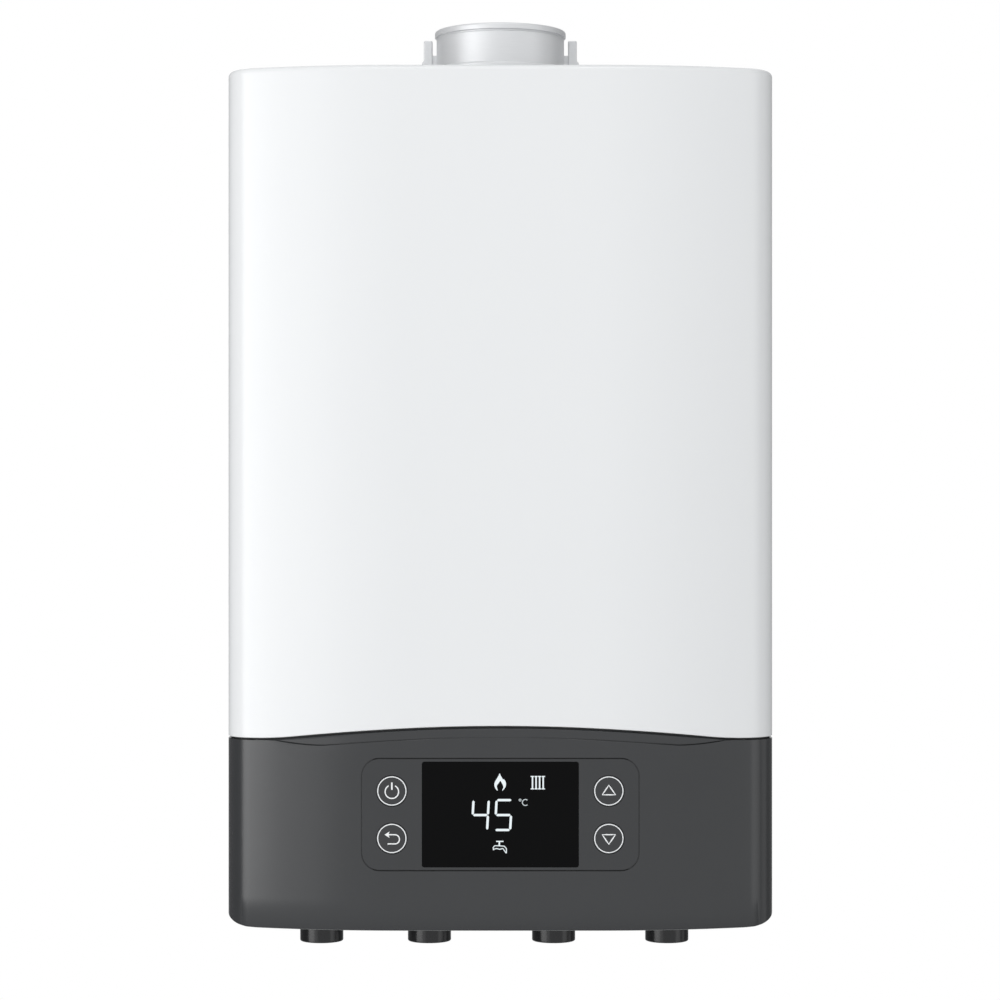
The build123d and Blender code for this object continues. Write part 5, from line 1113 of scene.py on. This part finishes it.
def make_display():
    low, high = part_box("display_window")
    lens = rounded_plate(
        "display_lens_face", high.x - low.x, high.z - low.z, WINDOW_R,
        (low.z + high.z) / 2, KEY_FACE_Y, high.y - KEY_FACE_Y,
    )
    soften(lens, 0.2 * MM)
    fit(lens, "flap", "display_lens", "display_window")

    figures = digit(-15.9 * MM, ("upper_left", "middle", "upper_right", "lower_right"))
    figures += digit(2.4 * MM, ("top", "upper_left", "middle", "lower_right", "bottom"))
    figures += flame_sign(-0.1 * MM, -225.6 * MM)
    figures += radiator_sign(29.75 * MM, -226.3 * MM)
    figures += tap_sign(-0.4 * MM, -277.3 * MM)
    fit(join(*figures), "flap", "display_lens", material=LIT_FIGURE, name="display_figures")
    unit = join(*degree_sign(19.85 * MM, -242.0 * MM))
    fit(unit, "flap", "display_lens", material=DIM_FIGURE, name="display_unit")


# ---- main board ----
BOARD_BACK_Y = -257.2 * MM
BOARD_THICK = 1.6 * MM
BOARD_SINK = -0.05


def board_block(name, low_x, high_x, low_z, high_z, foot, top):
    """A block at heights above the back of the main board, all sizes in millimetres."""
    low = (low_x * MM, BOARD_BACK_Y + foot * MM, low_z * MM)
    return block(name, low, (high_x * MM, BOARD_BACK_Y + top * MM, high_z * MM))


def on_board(name, low_x, high_x, low_z, high_z, height, edge):
    """A softened block standing on the back of the main board, sizes in millimetres."""
    piece = board_block(name, low_x, high_x, low_z, high_z, BOARD_SINK, height)
    soften(piece, edge * MM)
    return piece


def fit_on_board(piece, name, material):
    fit(piece, "flap", "circuit_green", material=material, name=name)


def make_board_plate():
    """The plate and the standoffs and screws that hold it."""
    low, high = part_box("main_board")
    front = BOARD_BACK_Y - BOARD_THICK
    plate = block("board_plate", (low.x, front, low.z), (high.x, BOARD_BACK_Y, high.z))
    fixings = []
    for x in (-130 * MM, 130 * MM):
        for z in (-318 * MM, -214 * MM):
            cut_away(plate, rod("hole", (x, BOARD_BACK_Y - 4 * MM, z), 1.9 * MM, 8 * MM, "Y", 24))
            fixings.append(rod("standoff", (x, low.y, z), 4 * MM, front - low.y, "Y", 6))
            fixings.append(rod("shank", (x, low.y + 2 * MM, z), 1.8 * MM, 9 * MM, "Y", 24))
            fixings.append(rod("head", (x, BOARD_BACK_Y, z), 3.2 * MM, 2 * MM, "Y", 32))
    soften(plate, 0.2 * MM)
    fit(plate, "flap", "circuit_green", "main_board")
    fixing = join(*fixings)
    soften(fixing, 0.4 * MM)
    fit_on_board(fixing, "board_fixings", finishes["brass"])


def make_capacitors():
    """Three cans in their sleeves, with scored metal tops."""
    sleeves, tops = [], []
    for x in (70, 92, 114):
        z = -240
        can = rod("can", (x * MM, BOARD_BACK_Y + BOARD_SINK * MM, z * MM), 8 * MM, 24.6 * MM, "Y")
        soften(can, 1.0 * MM, 3)
        top = rod("top", (x * MM, BOARD_BACK_Y + 24 * MM, z * MM), 6.6 * MM, MM, "Y")
        for half_x, half_z in ((4, 0.25), (0.25, 4)):
            score = board_block("score", x - half_x, x + half_x, z - half_z, z + half_z, 24.6, 27)
            cut_away(top, score)
        sleeves.append(can)
        tops.append(top)
    fit_on_board(join(*sleeves), "capacitor_sleeves", finishes["box_plastic"])
    fit_on_board(join(*tops), "capacitor_tops", finishes["cast_aluminium"])


def make_main_board():
    """Plate, fixings, transformer, relays, capacitors and plug headers."""
    make_board_plate()
    core = on_board("transformer_core", -120, -75, -304, -268, 27, 0.6)
    fit_on_board(core, "transformer_core", finishes["gas_steel"])
    winding = on_board("transformer_winding", -113, -82, -310, -262, 34, 2.5)
    fit_on_board(winding, "transformer_winding", WINDING_TAPE)
    relays = [on_board("relay", left, left + 20, -316, -288, 16, 0.8) for left in (-50, -24, 2, 28)]
    fit_on_board(join(*relays), "board_relays", finishes["blue_knob"])
    make_capacitors()
    headers = []
    for left in (-104, -68, -32, 4, 40):
        header = on_board("header", left, left + 26, -222, -212, 9, 0.4)
        cut_away(header, board_block("socket", left + 1.2, left + 24.8, -220.8, -213.2, 1.5, 12))
        headers.append(header)
    fit_on_board(join(*headers), "plug_headers", finishes["duct_white"])


# ---- inner castings and mouldings ----
EDGE_ROUNDING = {
    "burner_door": 0.8, "mixing_duct": 1.2, "fan_housing": 1.4, "gas_valve": 0.9,
    "fan_motor": 1.0, "pump_motor": 1.2, "pump_housing": 1.2, "flow_block": 1.0,
    "return_block": 1.0, "diverter_actuator": 0.9, "condensate_trap": 1.0, "control_box": 0.5,
    "safety_valve": 0.4, "safety_knob": 0.5, "filling_knob": 0.6, "air_vent": 0.4,
    "lower_skirt_left": 0.5, "lower_skirt_right": 0.5,
}
FLAT_ANGLE = 0.005


def round_inner_parts():
    """Gives the castings and mouldings the rounded edges that they leave their moulds with."""
    for body, nodes in frame["record"]["behaviour"]["bodies"].items():
        for node in nodes:
            if node not in EDGE_ROUNDING:
                continue
            hold(frame["nodes"][node])
            bpy.ops.object.duplicate()
            piece = call(bpy.context.object, node + "_finished")
            bpy.ops.object.editmode_toggle()
            weld()
            bpy.ops.mesh.dissolve_limited(angle_limit=FLAT_ANGLE)
            leave_drawing()
            soften(piece, EDGE_ROUNDING[node] * MM)
            fit(piece, body, slots[node], node)


# ---- heat exchanger ----
BARREL_Z = 160 * MM
BARREL_R = 107.5 * MM
BARREL_FRONT_Y = -218 * MM
FLANGE_R = 100 * MM
FLANGE_THICK = 4 * MM
CHAMBER_R = 82 * MM
CHAMBER_LENGTH = 110 * MM
RIB_GAPS = 7
RIB_GAP_DEPTH = 3 * MM
RIB_GAP_RIM = 2.5 * MM
RIB_GAP_SLOPE = 1.9 * MM
RIB_GAP_FLOOR = 1.3 * MM
RIB_GAP_FADES = (56 * MM, 64 * MM)
NECK_R = 33 * MM
NECK_BORE_R = 30.2 * MM
NECK_LOW_Z = BARREL_Z + 95 * MM
WATER_BOSS = (12 * MM, 95 * MM)
WATER_BOSSES_AT = ((-60 * MM, -130 * MM, 45 * MM), (60 * MM, -130 * MM, 45 * MM))
SUMP = (9 * MM, 100 * MM)
SUMP_Y = -115 * MM


def make_heat_exchanger():
    """Barrel with cooling grooves on both sides, its flange, flue neck, bosses and sump."""
    low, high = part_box("heat_exchanger")
    rear_y = high.y
    pitch = (rear_y - BARREL_FRONT_Y) / RIB_GAPS
    middles = [rear_y - pitch * (gap + 0.5) for gap in range(RIB_GAPS)]
    steps = (RIB_GAP_RIM, RIB_GAP_SLOPE, RIB_GAP_FLOOR, 0, -RIB_GAP_FLOOR, -RIB_GAP_SLOPE, -RIB_GAP_RIM)
    stations = [rear_y] + [middle + step for middle in middles for step in steps] + [BARREL_FRONT_Y]
    flange_y = BARREL_FRONT_Y - FLANGE_THICK
    chamber_y = flange_y + CHAMBER_LENGTH
    outline = [(0, rear_y)] + [(BARREL_R, station) for station in stations] + [
        (FLANGE_R, BARREL_FRONT_Y), (FLANGE_R, flange_y), (CHAMBER_R, flange_y),
        (CHAMBER_R, chamber_y), (0, chamber_y),
    ]
    barrel = draw_through("heat_exchanger_body", [(x, y, BARREL_Z) for x, y in outline])
    select_everything()
    turn(360, (0, 0, BARREL_Z), Y_AXIS, 120)
    leave_drawing()
    soften(barrel, 1.2 * MM)

    def cut_rib_gap(x, y, z):
        radius = math.hypot(x, z - BARREL_Z)
        nearest = min(abs(y - middle) for middle in middles)
        if radius < BARREL_R - 0.1 * MM or nearest > RIB_GAP_RIM:
            return x, y, z
        across = 1 - ease(nearest, RIB_GAP_FLOOR, RIB_GAP_RIM)
        along = 1 - ease(abs(z - BARREL_Z), *RIB_GAP_FADES)
        keep = 1 - RIB_GAP_DEPTH * across * along / radius
        return x * keep, y, BARREL_Z + (z - BARREL_Z) * keep

    reshape(barrel, cut_rib_gap)
    smooth(barrel, 70)
    outline = [(NECK_BORE_R, NECK_LOW_Z), (NECK_R, NECK_LOW_Z), (NECK_R, high.z), (NECK_BORE_R, high.z)]
    castings = [
        lathe("flue_neck", 0, FLUE_Y, outline),
        rod("sump", (0, SUMP_Y, low.z), *SUMP, "Z"),
    ]
    castings += [rod("water_boss", foot, *WATER_BOSS, "Z") for foot in WATER_BOSSES_AT]
    for casting in castings:
        soften(casting, 0.8 * MM)
    join(barrel, *castings)
    fit(barrel, "boiler", "cast_aluminium", "heat_exchanger")


# ---- flue collar ----

def make_collar():
    """Base ring, neck and rolled rim, turned in one piece."""
    top = TOP_Z
    rim_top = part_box("flue_collar")[1].z
    stop_r, bore_r, neck_r, rim_r, base_r, flange_r = (r * MM for r in (49, 50.5, 53.6, 55, 60, 66))
    flange_h, base_h, rim_h, stop_h = 3 * MM, 15 * MM, 5 * MM, 22 * MM
    bead_r, edge_r = 1.8 * MM, 2.0 * MM
    undercut, undercut_h = 0.9 * MM, 1.5 * MM
    collar = draw_from("collar_body", stop_r, FLUE_Y, top)
    run(x=flange_r - stop_r)
    run(z=flange_h)
    run(x=base_r - flange_r)
    run(z=base_h - flange_h - edge_r)
    turn(-90, (base_r - edge_r, FLUE_Y, top + base_h - edge_r), Y_AXIS, 5)
    run(x=neck_r - base_r + edge_r)
    run(z=rim_top - rim_h - undercut_h - top - base_h)
    run(x=-undercut)
    run(z=undercut_h)
    run(x=rim_r - neck_r + undercut)
    run(z=rim_h - bead_r)
    turn(-90, (rim_r - bead_r, FLUE_Y, rim_top - bead_r), Y_AXIS, 6)
    run(x=bore_r + MM - rim_r + bead_r)
    run(x=-MM, z=-MM)
    run(z=top + stop_h - rim_top + MM)
    run(x=stop_r - bore_r)
    run(z=-stop_h)
    weld()
    turn(360, (0, FLUE_Y, 0), Z_AXIS, 128)
    leave_drawing()
    soften(collar, 0.35 * MM, 2, 50)
    fit(collar, "boiler", "flue_grey", "flue_collar")
    for side, side_name in SIDES:
        make_collar_lug(side, side_name, neck_r, base_r)


def make_collar_lug(side, side_name, neck_r, base_r):
    """An upright post on a flared foot, tied to the neck by a thinner web."""
    half = 3.5 * MM
    outline = ((57, 14), (65.9, 14), (65.9, 21.5), (64.3, 23), (64.3, 40), (57, 40))
    points = [(side * x * MM, FLUE_Y - half, TOP_Z + z * MM) for x, z in outline]
    lug = draw_through("collar_lug_" + side_name, points)
    raise_outline(y=2 * half)
    soften(lug, 2.6 * MM, 6)
    foot = block(
        "foot",
        (side * (base_r - MM), FLUE_Y - half, TOP_Z + 2 * MM),
        (side * (base_r + 5.9 * MM), FLUE_Y + half, TOP_Z + 16 * MM),
    )
    web = block(
        "web",
        (side * (neck_r - MM), FLUE_Y - 2 * MM, TOP_Z + 14 * MM),
        (side * 58.5 * MM, FLUE_Y + 2 * MM, TOP_Z + 27.8 * MM),
    )
    for piece in (foot, web):
        soften(piece, 0.7 * MM)
    join(lug, foot, web)
    fit(lug, "boiler", "flue_grey")


# ---- pipe sleeves ----

def make_sleeves():
    """Dark sleeves round the four pipe tails, each with a flange at its top."""
    low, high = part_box("stub_sleeves")
    flange_r, flange_z = SLEEVE_R + 4 * MM, high.z - 3 * MM
    outline = [
        (SLEEVE_BORE_R, high.z), (flange_r, high.z), (flange_r, flange_z),
        (SLEEVE_R, flange_z), (SLEEVE_R, low.z), (SLEEVE_BORE_R, low.z),
    ]
    sleeves = join(*[lathe("sleeve", stub_x, SLEEVE_Y, outline, 64) for stub_x in SLEEVES_X])
    soften(sleeves, 1.2 * MM, 4)
    fit(sleeves, "boiler", "stub_plastic", "stub_sleeves", name="pipe_sleeves")


# ---- studio ----
AMBIENT = 0.63
AMBIENT_TINT = (0.975, 0.99, 1.0, 1)
GLOSS_SIDE = 0.18
DIFFUSE_SIDE = 0.15
FADE_FROM, FADE_TO = 0.55, 0.95
BACK_SHARE = 0.5
FLOOR_Z_BELOW = -2.3
FLOOR_RADIUS = 4.0
FLOOR_WHITENESS = 0.97
CAMERA_AT = (-0.28 * MM, -2.58, -2 * MM)
LENS = 104.35
SENSOR = 36


def softbox(name, place, aim, width, height, power):
    """A large soft lamp that faces a point."""
    bpy.ops.object.light_add(type="AREA", location=place)
    lamp = bpy.context.object
    lamp.name = name
    lamp.data.shape = "RECTANGLE"
    lamp.data.size = width
    lamp.data.size_y = height
    lamp.data.energy = power
    away = [a - b for a, b in zip(place, aim)]
    flat = math.hypot(away[0], away[1])
    lamp.rotation_euler = (math.atan2(flat, away[2]), 0, math.atan2(away[0], -away[1]))


def light_surroundings():
    """White for the camera and through glass; for the object, light that fades to both sides."""
    world = bpy.data.worlds.new("studio")
    bpy.context.scene.world = world
    sky = Nodes(world)
    aim = sky.node("TexCoord", output="Generated")
    right, back = (sky.node("SeparateXYZ", {0: aim}, axis) for axis in "XY")
    past_side = sky.node("Math", {0: right}, operation="ABSOLUTE") + BACK_SHARE * back

    def fade(front, side):
        """The level of light in front and at the sides."""
        values = {"From Min": FADE_FROM, "From Max": FADE_TO, "To Min": front, "To Max": side}
        return sky.node("MapRange", {"Value": past_side, **values}, interpolation_type="SMOOTHSTEP")

    glossy, camera, through_glass = (
        sky.node("LightPath", output=f"Is {ray} Ray") for ray in ("Glossy", "Camera", "Transmission")
    )
    mirrored = glossy * fade(1.0, GLOSS_SIDE)
    spread = (1.0 - glossy) * fade(AMBIENT, AMBIENT * DIFFUSE_SIDE)
    ambient = sky.tree.nodes["Background"]
    sky.put(ambient, {"Color": AMBIENT_TINT, "Strength": mirrored + spread})
    white = sky.node("Background", {"Color": (1, 1, 1, 1)})
    seen = camera.at_least(through_glass)
    sky.show(seen, Grade(sky, ambient.outputs[0]), white, "World Output")


def make_studio():
    """The surroundings, five lamps and the floor."""
    light_surroundings()
    middle = (0, -0.2, 0.2)
    softbox("key_light", (-2.78, -2.15, 0.2), middle, 2.0, 2.3, 49)
    softbox("fill_light", (-1.70, -3.14, 0.2), middle, 0.96, 2.3, 7)
    softbox("edge_light", (2.60, -1.47, 0.2), middle, 1.5, 2.4, 9.6)
    softbox("rim_light", (2.60, 0.0, 0.2), middle, 1.0, 2.3, 4.5)
    softbox("top_light", (0.1, -1.9, 2.6), (0, -0.2, 0.1), 1.4, 0.8, 11)

    bpy.ops.object.select_all(action="DESELECT")
    bpy.ops.mesh.primitive_circle_add(
        vertices=96, radius=FLOOR_RADIUS, fill_type="NGON", location=(0, 0, FLOOR_Z_BELOW)
    )
    floor = bpy.context.object
    floor.name = "studio_floor"
    settle(floor)
    floor.data.materials.append(pale_floor())


def pale_floor():
    """A pale floor that runs into the white background for the camera, and keeps a shadow."""
    finish = Finish("pale_floor", (0.86, 0.865, 0.87), 0.6)
    finish.colour(finish.noise(0.4, 3.0), (0.84, 0.845, 0.85), (0.88, 0.885, 0.89))
    seen = finish.node("LightPath", output="Is Camera Ray") * FLOOR_WHITENESS
    floor = Grade(finish, finish.shader.outputs[0])
    finish.show(seen, floor, finish.node("Emission"), "Material Output")
    return finish.material


def make_camera():
    """Level with the casing's middle, straight in front, with a long lens."""
    bpy.ops.object.camera_add(location=CAMERA_AT, rotation=(math.pi / 2, 0, 0))
    camera = bpy.context.object
    camera.name = "camera"
    camera.data.lens = LENS
    camera.data.sensor_width = SENSOR
    bpy.context.scene.camera = camera


make_camera()
make_studio()
make_front_casing()
make_joint_trim()
make_fascia()
make_skirt_lips()
make_faceplate()
make_keys()
make_display()
make_main_board()
round_inner_parts()
make_heat_exchanger()
make_collar()
make_sleeves()

bpy.context.scene.view_settings.view_transform = "Standard"
